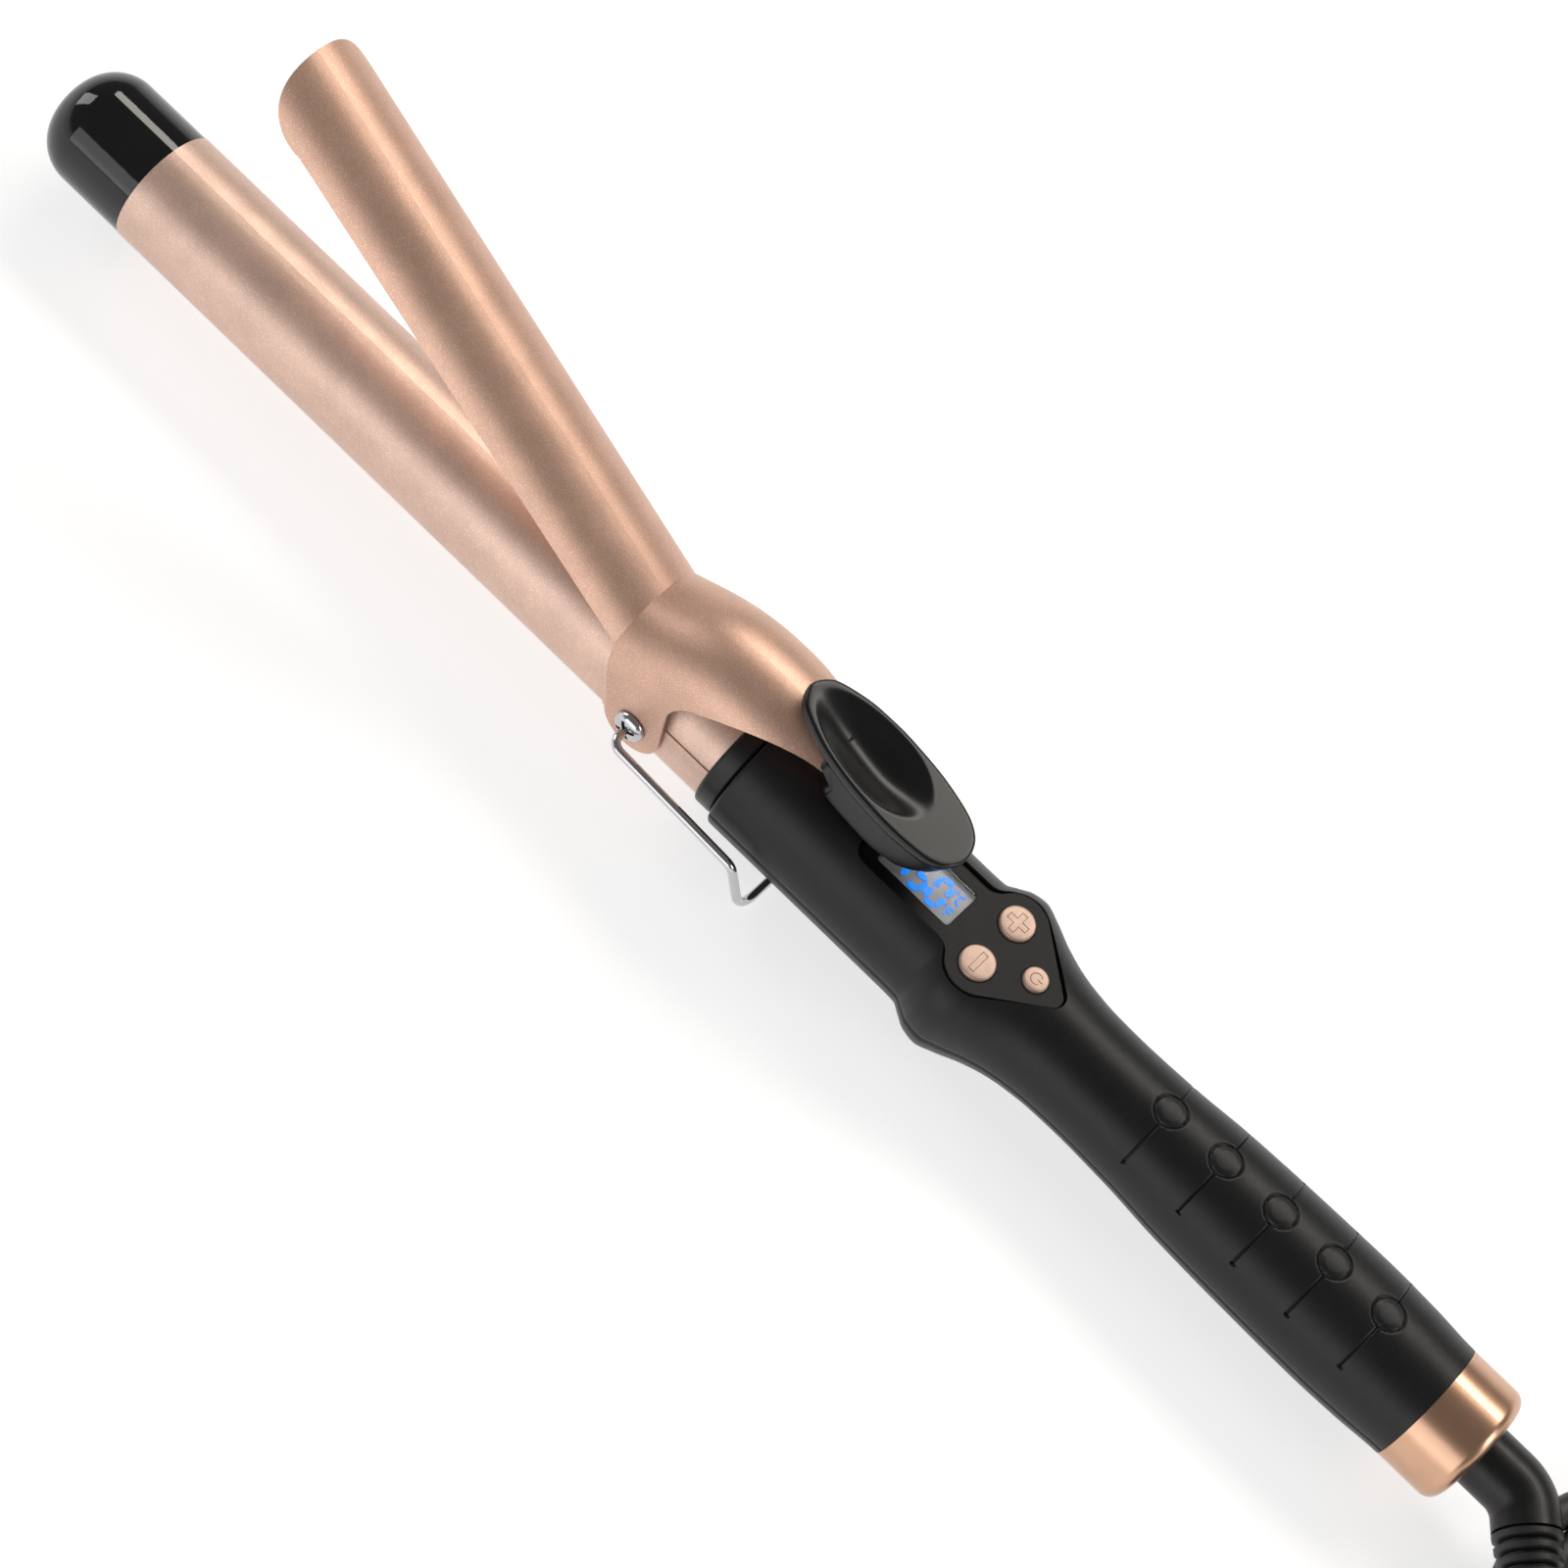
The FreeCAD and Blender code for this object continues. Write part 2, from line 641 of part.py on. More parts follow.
LCD_X = (23.8, 42.2)
LCD_HALF = 4.7
LCD_CORNER = 0.8
LCD_COVER_Z = (PANEL_Z - 1.0, PANEL_Z - 0.1)
LCD_MARGIN = 0.8
LCD_BOTTOM_Z = PANEL_UNDER_Z - 2.4
SPACER_X = (26.0, 40.0)
SPACER_HALF = 3.5
BUTTONS = {"plus": (51.1, 6.05, 3.7), "minus": (51.1, -6.05, 3.7), "power": (61.0, 0.0, 2.65)}
BUTTON_RISE = 0.8
BUTTON_TRAVEL = 0.6
BUTTON_EDGE = 0.35
FLANGE_OUT = 0.6
FLANGE_Z = (PANEL_UNDER_Z - 1.2, PANEL_UNDER_Z - SMALL)
STEM_R = 1.5
BOARD_X = (18.0, 72.0)
BOARD_HALF = 8.0
BOARD_Z = 4.0
BOARD_TOP_Z = 5.6
SWITCH_HALF = (2.2, 1.9)
SWITCH_BODY_Z = 7.0
SWITCH_TOP_Z = 7.6
SWITCH_R = 1.3


def lcd_opening(grow, z0, z1):
    """The display's rounded rectangle between two heights."""
    slab = box(LCD_X[0] - grow, LCD_X[1] + grow, -LCD_HALF - grow, LCD_HALF + grow, z0, z1)
    return slab.makeFillet(LCD_CORNER, upright_edges(slab))


def control_panel():
    """The dark plate around the display and the buttons."""
    panel = panel_prism(0.0, PANEL_UNDER_Z, PANEL_Z)
    panel = panel.cut(lcd_opening(0.0, 0, BIG))
    for x, y, radius in BUTTONS.values():
        panel = panel.cut(rod_z(radius + FIT, 0, BIG, x, y))
    return panel


def lcd_window():
    """The clear cover of the display, flush with the panel."""
    return lcd_opening(0.0, *LCD_COVER_Z)


def lcd_module():
    """The display itself, under its cover."""
    half = LCD_HALF + LCD_MARGIN
    return box(LCD_X[0] - LCD_MARGIN, LCD_X[1] + LCD_MARGIN, -half, half, LCD_BOTTOM_Z, PANEL_UNDER_Z)


def circuit_board():
    """The board that carries the display and the switches."""
    return box(BOARD_X[0], BOARD_X[1], -BOARD_HALF, BOARD_HALF, BOARD_Z, BOARD_TOP_Z)


def display_spacer():
    """The spacer that holds the display above the board."""
    return box(SPACER_X[0], SPACER_X[1], -SPACER_HALF, SPACER_HALF, BOARD_TOP_Z, LCD_BOTTOM_Z)


def button(x, y, radius):
    """A round push button with a flange under the panel and a stem over its switch."""
    top = PANEL_Z + BUTTON_RISE
    cap = rod_z(radius, FLANGE_Z[0], top, x, y)
    rim = [edge for edge in cap.Edges if abs(edge.CenterOfMass.z - top) < FIT]
    cap = cap.makeFillet(BUTTON_EDGE, rim[:1])
    flange = rod_z(radius + FLANGE_OUT, FLANGE_Z[0], FLANGE_Z[1], x, y)
    stem = rod_z(STEM_R, SWITCH_TOP_Z + BUTTON_TRAVEL + FIT, FLANGE_Z[0], x, y)
    return cap.fuse(flange).fuse(stem).removeSplitter()


def tact_switch(x, y):
    """The switch under a button."""
    half_x, half_y = SWITCH_HALF
    body = box(x - half_x, x + half_x, y - half_y, y + half_y, BOARD_TOP_Z, SWITCH_BODY_Z)
    return body.fuse(rod_z(SWITCH_R, SWITCH_BODY_Z, SWITCH_TOP_Z, x, y)).removeSplitter()


# ---- handle end and swivel ----------------------------------------------------------------

END_WALL = 2.6
END_FILLET = 2.8
FLANGE_X = (165.6, 167.8)
FLANGE_R = 8.4
BUSH_R = 11.0
BUSH_X = (160.0, RING_END_X - END_WALL)
CONTACT_X = (161.5, 165.2)


def end_ring():
    """The metal ring that closes the handle, with a rounded end and the swivel's hole."""
    cup = rod_x(RING_R, RING_X, RING_END_X)
    rim = [edge for edge in cup.Edges if abs(edge.CenterOfMass.x - RING_END_X) < FIT]
    cup = cup.makeFillet(END_FILLET, rim[:1])
    cup = cup.cut(rod_x(BUSH_R, RING_X - 1, RING_END_X - END_WALL))
    return cup.cut(rod_x(SWIVEL_R + FIT, RING_X, RING_END_X + 1))


def swivel_bush():
    """The sleeve in the handle's end that the cord's elbow turns in."""
    sleeve = rod_x(BUSH_R, BUSH_X[0], BUSH_X[1])
    sleeve = sleeve.cut(rod_x(SWIVEL_R + FIT, BUSH_X[0] - 1, BUSH_X[1] + 1))
    return sleeve.cut(rod_x(FLANGE_R + FIT, BUSH_X[0] - 1, FLANGE_X[1] + SMALL))


def contact_block():
    """The disc with the sliding contacts that feed the two wires."""
    return rod_x(FLANGE_R - SMALL, CONTACT_X[0], CONTACT_X[1])


BEND_DEG = 48.0
RELIEF_START = 7.0
RELIEF_LENGTH = 26.0
RELIEF_END_R = 4.3
ELBOW_BEND = 9.0
RIBS = 7
RIB_PROUD = 0.5
OUT = FreeCAD.Vector(math.cos(math.radians(BEND_DEG)), -math.sin(math.radians(BEND_DEG)), 0)
BEND = FreeCAD.Vector(BEND_X, 0, 0)


def swivel_elbow():
    """The elbow that turns in the handle's end and points the cord to one side."""
    path = [at(FLANGE_X[0], 0, 0), BEND, BEND + OUT * RELIEF_START]
    elbow = swept(path, ELBOW_BEND, SWIVEL_R)
    elbow = elbow.fuse(rod_x(FLANGE_R, FLANGE_X[0], FLANGE_X[1]))
    return elbow.removeSplitter()


def strain_relief():
    """The ribbed, tapered sleeve on the cord."""
    start = BEND + OUT * RELIEF_START
    sleeve = Part.makeCone(SWIVEL_R - RIB_PROUD, RELIEF_END_R, RELIEF_LENGTH, start, OUT)
    pitch = RELIEF_LENGTH / (RIBS + 1)
    for index in range(RIBS):
        along = pitch * (index + 1 / 3)
        radius = SWIVEL_R + (RELIEF_END_R + RIB_PROUD - SWIVEL_R) * along / RELIEF_LENGTH
        sleeve = sleeve.fuse(Part.makeCylinder(radius, pitch / 2, start + OUT * along, OUT))
    return sleeve.removeSplitter()


# ---- cord, laid out behind the handle -----------------------------------------------------

FLOOR_Z = -AXIS_HEIGHT
CORD_R = CORD_D / 2
RUN_SHARE = 0.45          # how much of a run each arc may take
LOW_Z = FLOOR_Z + CORD_R
HANK_FOLDS = ((227.5, 30.4), (307.5, 33.4))
HANK_Y = 1.0
HANK_HOLE_R = 14.8
HANK_HEIGHT = 12.3
TIE_X = (264.0, 276.0)
TIE_THICK = 1.2
TIE_OUT = 0.6
PLUG_X = 262.0
PLUG_Y = 23.4
PLUG_HALF_Y = 11.0
PLUG_HEIGHT = 14.0
PLUG_LENGTH = 30.0
PLUG_EDGE = 3.0
PLUG_NECK = 8.0
PLUG_NECK_R = 6.4
PLUG_LIP = 1.0
PLUG_Z = FLOOR_Z + HANK_HEIGHT + PLUG_HEIGHT / 2
BLADE = (16.0, 1.5, 6.35)
BLADE_SPACING = 12.7

RELIEF_END = BEND + OUT * (RELIEF_START + RELIEF_LENGTH)
LEAD_OUT = [
    RELIEF_END,
    RELIEF_END + OUT * 16.0,
    at(240.0, -41.5, -4.0),
    at(257.0, -41.8, -10.0),
    at(273.0, -41.0, -14.6),
    at(290.0, -38.6, LOW_Z),
    at(306.0, -32.8, LOW_Z),
    at(324.8, -23.7, LOW_Z),
]
TAIL = [
    at(306.0, 25.0, LOW_Z + CORD_D),
    at(294.0, 25.1, LOW_Z + CORD_D + 1.0),
    at(278.0, 24.4, PLUG_Z - 1.2),
    at(PLUG_X, PLUG_Y, PLUG_Z),
]


def corded(points):
    """A cord's tube: straight runs joined by arcs as large as the two runs beside them allow."""
    edges = []
    last = points[0]
    radii = []
    length = 0.0
    for before, corner, after in zip(points, points[1:], points[2:]):
        arrive = corner - before
        leave = after - corner
        reach = RUN_SHARE * min(arrive.Length, leave.Length)
        arrive.normalize()
        leave.normalize()
        half_turn = arrive.getAngle(leave) / 2
        bend = reach / math.tan(half_turn)
        radii.append(round(bend, 1))
        start = corner - arrive * reach
        end = corner + leave * reach
        inward = (leave - arrive).normalize()
        middle = corner + inward * (bend / math.cos(half_turn) - bend)
        edges.append(line(last, start))
        edges.append(arc(start, middle, end))
        last = end
    edges.append(line(last, points[-1]))
    path = Part.Wire(edges)
    for edge in edges:
        length += edge.Length
    circle = Part.Wire(Part.Circle(points[0], (points[1] - points[0]).normalize(), CORD_R).toShape())
    tube = path.makePipeShell([circle], True, False)
    expected = math.pi * CORD_R ** 2 * length
    print(f"cord bend radii {radii} length {length:.1f} volume {tube.Volume:.0f} of {expected:.0f}")
    return tube


def racetrack(folds, z0, z1):
    """The solid around two circles, (x, radius) each, centred on the hank's middle line."""
    (near_x, near_r), (far_x, far_r) = folds
    lean = math.asin((near_r - far_r) / (far_x - near_x))
    solid = rod_z(near_r, z0, z1, near_x, HANK_Y).fuse(rod_z(far_r, z0, z1, far_x, HANK_Y))
    corners = [at(x + math.sin(lean) * r, HANK_Y + side * math.cos(lean) * r, z0)
               for side, pair in ((1, folds), (-1, folds[::-1])) for x, r in pair]
    bridge = Part.Face(Part.makePolygon(corners + corners[:1])).extrude(at(0, 0, z1 - z0))
    return solid.fuse(bridge).removeSplitter()


def cord_hank():
    """The outer shape of the folded length of cord, lying on the surface."""
    top = FLOOR_Z + HANK_HEIGHT
    hole = tuple((x, HANK_HOLE_R) for x, _ in HANK_FOLDS)
    return racetrack(HANK_FOLDS, FLOOR_Z, top).cut(racetrack(hole, FLOOR_Z - 1, top + 1))


def cord_tie():
    """The strap around the folded cord's near side."""
    top = FLOOR_Z + HANK_HEIGHT
    low = HANK_Y - HANK_FOLDS[1][1] - TIE_OUT
    high = HANK_Y - HANK_HOLE_R + TIE_THICK
    strap = box(TIE_X[0], TIE_X[1], low, high, FLOOR_Z, top + TIE_THICK)
    return strap.cut(box(-BIG, 2 * BIG, low + TIE_THICK, high - TIE_THICK, -BIG, top))


def plug_body():
    """The moulded plug, with a taper where the cord enters."""
    neck_x = PLUG_X - PLUG_NECK
    block = box(PLUG_X - PLUG_LENGTH, neck_x, PLUG_Y - PLUG_HALF_Y, PLUG_Y + PLUG_HALF_Y,
                PLUG_Z - PLUG_HEIGHT / 2, PLUG_Z + PLUG_HEIGHT / 2)
    lengthwise = [edge for edge in block.Edges if edge.Length > neck_x - PLUG_X + PLUG_LENGTH - FIT
                  and abs(edge.tangentAt(edge.FirstParameter).x) > math.sqrt(0.5)]
    block = block.makeFillet(PLUG_EDGE, lengthwise)
    taper = Part.makeCone(PLUG_NECK_R, CORD_R + PLUG_LIP, PLUG_NECK, at(neck_x, PLUG_Y, PLUG_Z), X_AXIS)
    return block.fuse(taper).removeSplitter()


def plug_blade(side):
    """One flat contact of the plug: side is -1 or +1."""
    long, thick, tall = BLADE
    y = PLUG_Y + side * BLADE_SPACING / 2
    end = PLUG_X - PLUG_LENGTH
    return box(end - long, end, y - thick / 2, y + thick / 2, PLUG_Z - tall / 2, PLUG_Z + tall / 2)


# ---- everything ---------------------------------------------------------------------------

def main():
    """Makes each sub-part and writes it."""
    os.makedirs("parts", exist_ok=True)
    save("barrel_tube", barrel_tube())
    save("tip_cap", tip_cap())
    save("heater_plate", heater_plate())
    save("heater_clamp_upper", heater_clamp(1))
    save("heater_clamp_lower", heater_clamp(-1))
    save("temperature_sensor", temperature_sensor())
    save("barrel_insulator", barrel_insulator())
    save("lead_live", lead_wire(-LEAD_Y))
    save("lead_neutral", lead_wire(LEAD_Y))
    save("heat_collar", heat_collar())
    save("hinge_saddle", hinge_saddle())
    save("hinge_screw_near", hinge_screw(-1))
    save("hinge_screw_far", hinge_screw(1))

    plate = clip_plate()
    pad = thumb_pad()
    base = thumb_base()
    for name, along in zip(("front", "rear"), PAD_SCREW_X):
        screw = thumb_screw(along)
        plate = plate.cut(screw)
        pad = pad.cut(screw)
        base = base.cut(screw)
        save("thumb_screw_" + name, screw)
    save("clip_plate", plate)
    save("thumb_pad", pad)
    save("thumb_base", base)
    save("clip_spring", clip_spring())
    save("wire_stand", wire_stand())

    save("barrel_bush", barrel_bush())
    save("handle_upper_shell", handle_upper_shell())
    save("handle_lower_shell", handle_lower_shell())
    for name, (x, y, _, _, seat) in POSTS.items():
        save("handle_screw_" + name, handle_screw(x, y, seat))
    save("control_panel", control_panel())
    save("lcd_window", lcd_window())
    save("lcd_module", lcd_module())
    save("display_spacer", display_spacer())
    save("circuit_board", circuit_board())
    for name, (x, y, radius) in BUTTONS.items():
        save("button_" + name, button(x, y, radius))
        save("switch_" + name, tact_switch(x, y))

    save("end_ring", end_ring())
    save("swivel_bush", swivel_bush())
    save("contact_block", contact_block())
    save("swivel_elbow", swivel_elbow())
    save("strain_relief", strain_relief())
    save("cord_tube", corded(LEAD_OUT))
    save("cord_hank", cord_hank())
    save("cord_tie", cord_tie())
    save("cord_tail", corded(TAIL))
    save("plug_body", plug_body())
    save("plug_blade_near", plug_blade(-1))
    save("plug_blade_far", plug_blade(1))


main()
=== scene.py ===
"""Curling iron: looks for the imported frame."""
import math

import bmesh
import bpy
import numpy as np
from mathutils import Matrix, Vector


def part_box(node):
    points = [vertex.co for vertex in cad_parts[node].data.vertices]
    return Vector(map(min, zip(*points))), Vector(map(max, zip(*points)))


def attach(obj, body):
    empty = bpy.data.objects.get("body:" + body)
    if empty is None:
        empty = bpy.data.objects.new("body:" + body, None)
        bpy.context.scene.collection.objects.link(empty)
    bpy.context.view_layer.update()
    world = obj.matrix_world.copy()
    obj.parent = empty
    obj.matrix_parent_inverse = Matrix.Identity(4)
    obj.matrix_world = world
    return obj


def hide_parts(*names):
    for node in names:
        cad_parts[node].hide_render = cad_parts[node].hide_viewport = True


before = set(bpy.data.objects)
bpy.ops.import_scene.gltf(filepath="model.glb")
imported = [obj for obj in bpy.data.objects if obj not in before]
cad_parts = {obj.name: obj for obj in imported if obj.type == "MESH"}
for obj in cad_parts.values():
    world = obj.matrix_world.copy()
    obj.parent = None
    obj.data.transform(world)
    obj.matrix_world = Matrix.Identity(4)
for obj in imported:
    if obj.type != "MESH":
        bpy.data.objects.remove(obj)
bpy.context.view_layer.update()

MM = 0.001
# from the axis frame (x along the barrel, in mm, z = 0 on its axis) to the row frame
CAP_END_X = -195.8
CAP_LOW, CAP_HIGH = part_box("tip_cap")
AXIS_Z = (CAP_LOW.z + CAP_HIGH.z) / 2
SHIFT_X = CAP_LOW.x - CAP_END_X * MM


def place(x, y, z):
    """A point of the row frame in metres, from millimetres in the axis frame."""
    return Vector((x * MM + SHIFT_X, y * MM, z * MM + AXIS_Z))


def add(name, data):
    """A new object in the scene."""
    made = bpy.data.objects.new(name, data)
    bpy.context.scene.collection.objects.link(made)
    return made


# ---- camera ------------------------------------------------------------------------------

CAMERA_DISTANCE = 0.782


def aim_camera():
    """A long lens above the near side, rolled so that the iron runs corner to corner."""
    toward = Vector((0.1132, -0.4968, 0.8604)).normalized()
    along = Vector((0.9936, 0.0566, -0.0980)).normalized()
    across = toward.cross(along).normalized()
    roll = math.radians(43.9)
    right = along * math.cos(roll) + across * math.sin(roll)
    up = across * math.cos(roll) - along * math.sin(roll)
    data = bpy.data.cameras.new("camera")
    data.lens = 93.76
    data.sensor_width = 36
    camera = add("camera", data)
    turn = Matrix((right, up, toward)).transposed().to_4x4()
    camera.matrix_world = Matrix.Translation(place(0, 0, 0) + toward * CAMERA_DISTANCE) @ turn
    bpy.context.scene.camera = camera


aim_camera()


# ---- materials ---------------------------------------------------------------------------

FLECK_MM = 0.24
FLECK_COLOR = (0.5, 0.42, 0.38, 1)


def material(name, color, rough=0.4, metal=0.0, tint=0.12, tint_mm=3.0, rough_vary=0.06,
             grain_mm=0.15, bump=0.05, sparkle=0.0, **sockets):
    """A node material: colour drifts with one noise, gloss with another, and a grain bumps it.

    sparkle adds metal flecks, and sockets sets further shader inputs by name.
    """
    made = bpy.data.materials.new(name)
    made.use_nodes = True
    tree = made.node_tree
    shader = tree.nodes["Principled BSDF"]
    spot = tree.nodes.new("ShaderNodeTexCoord").outputs["Object"]

    def noise(size_mm, detail=2.0):
        node = tree.nodes.new("ShaderNodeTexNoise")
        node.inputs["Scale"].default_value = 1.0 / (size_mm * MM)
        node.inputs["Detail"].default_value = detail
        tree.links.new(spot, node.inputs["Vector"])
        return node.outputs["Fac"]

    def ramp(source, low, high, start=0.35, end=0.65):
        node = tree.nodes.new("ShaderNodeValToRGB")
        node.color_ramp.elements[0].position = start
        node.color_ramp.elements[1].position = end
        node.color_ramp.elements[0].color = (*low, 1)
        node.color_ramp.elements[1].color = (*high, 1)
        tree.links.new(source, node.inputs["Fac"])
        return node.outputs["Color"]

    dark = [c * (1 - tint) for c in color]
    light = [min(1, c * (1 + tint)) for c in color]
    paint = ramp(noise(tint_mm), dark, light)
    if sparkle:
        flecks = ramp(noise(FLECK_MM, 0.0), (0, 0, 0), (1, 1, 1), 0.56, 0.72)
        mix = tree.nodes.new("ShaderNodeMix")
        mix.data_type = "RGBA"
        mix.blend_type = "ADD"
        scale = tree.nodes.new("ShaderNodeMath")
        scale.operation = "MULTIPLY"
        scale.inputs[1].default_value = sparkle
        tree.links.new(flecks, scale.inputs[0])
        tree.links.new(scale.outputs[0], mix.inputs["Factor"])
        tree.links.new(paint, mix.inputs["A"])
        mix.inputs["B"].default_value = FLECK_COLOR
        paint = mix.outputs["Result"]
    tree.links.new(paint, shader.inputs["Base Color"])

    gloss = tree.nodes.new("ShaderNodeMapRange")
    gloss.inputs["To Min"].default_value = max(0.02, rough - rough_vary)
    gloss.inputs["To Max"].default_value = rough + rough_vary
    tree.links.new(noise(grain_mm * 6), gloss.inputs["Value"])
    tree.links.new(gloss.outputs["Result"], shader.inputs["Roughness"])

    if bump:
        node = tree.nodes.new("ShaderNodeBump")
        node.inputs["Strength"].default_value = bump
        node.inputs["Distance"].default_value = grain_mm * MM
        tree.links.new(noise(grain_mm), node.inputs["Height"])
        tree.links.new(node.outputs["Normal"], shader.inputs["Normal"])
    shader.inputs["Metallic"].default_value = metal
    for socket, value in sockets.items():
        shader.inputs[socket.replace("_", " ")].default_value = value
    return made


ROSE = material("rose_gold_barrel", (0.67, 0.465, 0.375), rough=0.42, metal=0.72, tint=0.05,
                tint_mm=8.0, rough_vary=0.05, grain_mm=0.22, bump=0.22, sparkle=0.3)
ROSE_CLIP = material("rose_gold_clip", (0.62, 0.385, 0.285), rough=0.39, metal=0.74, tint=0.05,
                     tint_mm=8.0, rough_vary=0.05, grain_mm=0.22, bump=0.22, sparkle=0.3)
GLOSS_BLACK = material("gloss_black_cap", (0.005, 0.005, 0.006), rough=0.07, tint=0.1, tint_mm=6.0,
                       rough_vary=0.02, grain_mm=1.2, bump=0.01)
HANDLE_BLACK = material("satin_black_handle", (0.006, 0.006, 0.0065), tint_mm=5.0, rough_vary=0.05,
                        grain_mm=0.18, bump=0.14, Specular_IOR_Level=0.32)
BLACK = material("satin_black_plastic", (0.005, 0.005, 0.005), rough=0.36, tint_mm=4.0,
                 rough_vary=0.05, grain_mm=0.2, bump=0.08, Specular_IOR_Level=0.36)
PAD_BLACK = material("smooth_black_plastic", (0.005, 0.005, 0.0055), rough=0.27, tint_mm=6.0,
                     rough_vary=0.01, grain_mm=0.3, bump=0.005, Specular_IOR_Level=0.4)
PANEL_BLACK = material("panel_charcoal", (0.006, 0.006, 0.006), rough=0.42, tint=0.1,
                       rough_vary=0.05, grain_mm=0.12, bump=0.08, Specular_IOR_Level=0.2)
CHROME = material("chrome_wire", (0.58, 0.58, 0.60), rough=0.13, metal=1.0, tint=0.03, tint_mm=2.0,
                  rough_vary=0.04, grain_mm=0.3, bump=0.02)
STEEL = material("spring_steel", (0.50, 0.50, 0.52), rough=0.3, metal=1.0, tint=0.08, tint_mm=1.0,
                 rough_vary=0.08, grain_mm=0.1)
COPPER = material("copper_ring", (0.62, 0.375, 0.25), rough=0.28, metal=0.95, tint=0.03,
                  tint_mm=6.0, rough_vary=0.01, grain_mm=0.5, bump=0.01)
BUTTON = material("rose_button", (0.47, 0.335, 0.27), rough=0.42, metal=0.6, tint=0.04, tint_mm=2.0,
                  rough_vary=0.04, grain_mm=0.12, bump=0.08)
ENGRAVED = material("engraved_line", (0.20, 0.10, 0.06), rough=0.5, metal=0.4, tint=0.1,
                    tint_mm=1.0, rough_vary=0.05, grain_mm=0.1)
RUBBER = material("cord_rubber", (0.007, 0.007, 0.007), rough=0.46, tint=0.15, tint_mm=4.0,
                  grain_mm=0.25, bump=0.12)
TIE = material("tie_strap", (0.014, 0.014, 0.015), rough=0.6, tint=0.2, tint_mm=1.5, grain_mm=0.3,
               bump=0.3)
BRASS = material("plug_brass", (0.80, 0.62, 0.33), rough=0.25, metal=1.0, tint=0.06, tint_mm=2.0,
                 bump=0.04)
LCD_GREY = material("lcd_grey", (0.50, 0.51, 0.52), rough=0.35, tint=0.04, rough_vary=0.04,
                    grain_mm=0.1, bump=0.02)
LCD_BLUE = material("lcd_blue", (0.002, 0.24, 0.95), tint=0.06, tint_mm=1.0, rough_vary=0.04,
                    grain_mm=0.1, bump=0.02, Emission_Color=(0.0, 0.26, 1.0, 1.0),
                    Emission_Strength=0.7)
LCD_CLEAR = material("lcd_clear", (1.0, 1.0, 1.0), rough=0.04, tint=0.01, rough_vary=0.02,
                     grain_mm=0.5, bump=0.005, Transmission_Weight=1.0, IOR=1.2)
CERAMIC = material("ceramic", (0.78, 0.76, 0.70), rough=0.6, tint=0.06, tint_mm=2.0, grain_mm=0.2,
                   bump=0.1)
ALUMINIUM = material("aluminium", (0.72, 0.72, 0.73), rough=0.35, metal=1.0, tint=0.05, bump=0.06)
BOARD = material("board_green", (0.02, 0.16, 0.06), rough=0.45, tint=0.2, tint_mm=2.0, grain_mm=0.3,
                 bump=0.08)
NYLON = material("white_nylon", (0.75, 0.75, 0.72), rough=0.45, tint=0.05, grain_mm=0.2)
RED = material("wire_red", (0.45, 0.03, 0.02), rough=0.45, tint=0.1, tint_mm=2.0, grain_mm=0.2)
BLUE = material("wire_blue", (0.03, 0.08, 0.40), rough=0.45, tint=0.1, tint_mm=2.0, grain_mm=0.2)
FLOOR = material("floor_white", (0.45, 0.45, 0.45), rough=0.9, tint=0.004, tint_mm=60.0,
                 rough_vary=0.02, grain_mm=1.0, bump=0.0, Emission_Color=(1.0, 1.0, 1.0, 1.0),
                 Emission_Strength=0.70)

CARRIED = {
    "barrel_tube": ROSE, "hinge_saddle": ROSE, "tip_cap": GLOSS_BLACK, "heat_collar": BLACK,
    "clip_plate": ROSE_CLIP, "barrel_bush": BLACK,
    "barrel_insulator": CERAMIC, "heater_plate": CERAMIC, "heater_clamp_upper": ALUMINIUM,
    "heater_clamp_lower": ALUMINIUM, "temperature_sensor": CERAMIC, "lead_live": RED,
    "lead_neutral": BLUE, "handle_screw_near": STEEL, "handle_screw_far": STEEL,
    "handle_screw_rear": STEEL,
    "lcd_module": LCD_GREY, "lcd_window": LCD_CLEAR, "display_spacer": NYLON,
    "circuit_board": BOARD, "switch_plus": BLACK, "switch_minus": BLACK, "switch_power": BLACK,
    "end_ring": COPPER, "swivel_bush": NYLON, "contact_block": BRASS, "swivel_elbow": BLACK,
    "plug_blade_near": BRASS, "plug_blade_far": BRASS,
}
for node, paint in CARRIED.items():
    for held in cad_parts[node].material_slots:
        held.link = "OBJECT"
        held.material = paint


# ---- making pieces -----------------------------------------------------------------------

def mount(name, data, body, stands_for=()):
    """An object that rides on a body, in place of its CAD solids."""
    made = add(name, data)
    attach(made, body)
    if stands_for:
        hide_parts(*stands_for)
    return made


def solid_mesh(name, verts, faces):
    """A mesh with its normals turned outward."""
    mesh = bpy.data.meshes.new(name)
    mesh.from_pydata([tuple(v) for v in verts], [], [tuple(f) for f in faces])
    mesh.validate()
    shape = bmesh.new()
    shape.from_mesh(mesh)
    bmesh.ops.recalc_face_normals(shape, faces=shape.faces)
    shape.to_mesh(mesh)
    shape.free()
    return mesh


def piece(name, verts, faces, paint, body, stands_for=(), smooth=True, sharp_deg=None):
    """A mesh piece from row-frame points, riding on a body."""
    mesh = solid_mesh(name, verts, faces)
    mesh.materials.append(paint)
    mesh.polygons.foreach_set("use_smooth", [smooth] * len(mesh.polygons))
    if sharp_deg:
        mesh.set_sharp_from_angle(angle=math.radians(sharp_deg))
    return mount(name, mesh, body, stands_for)


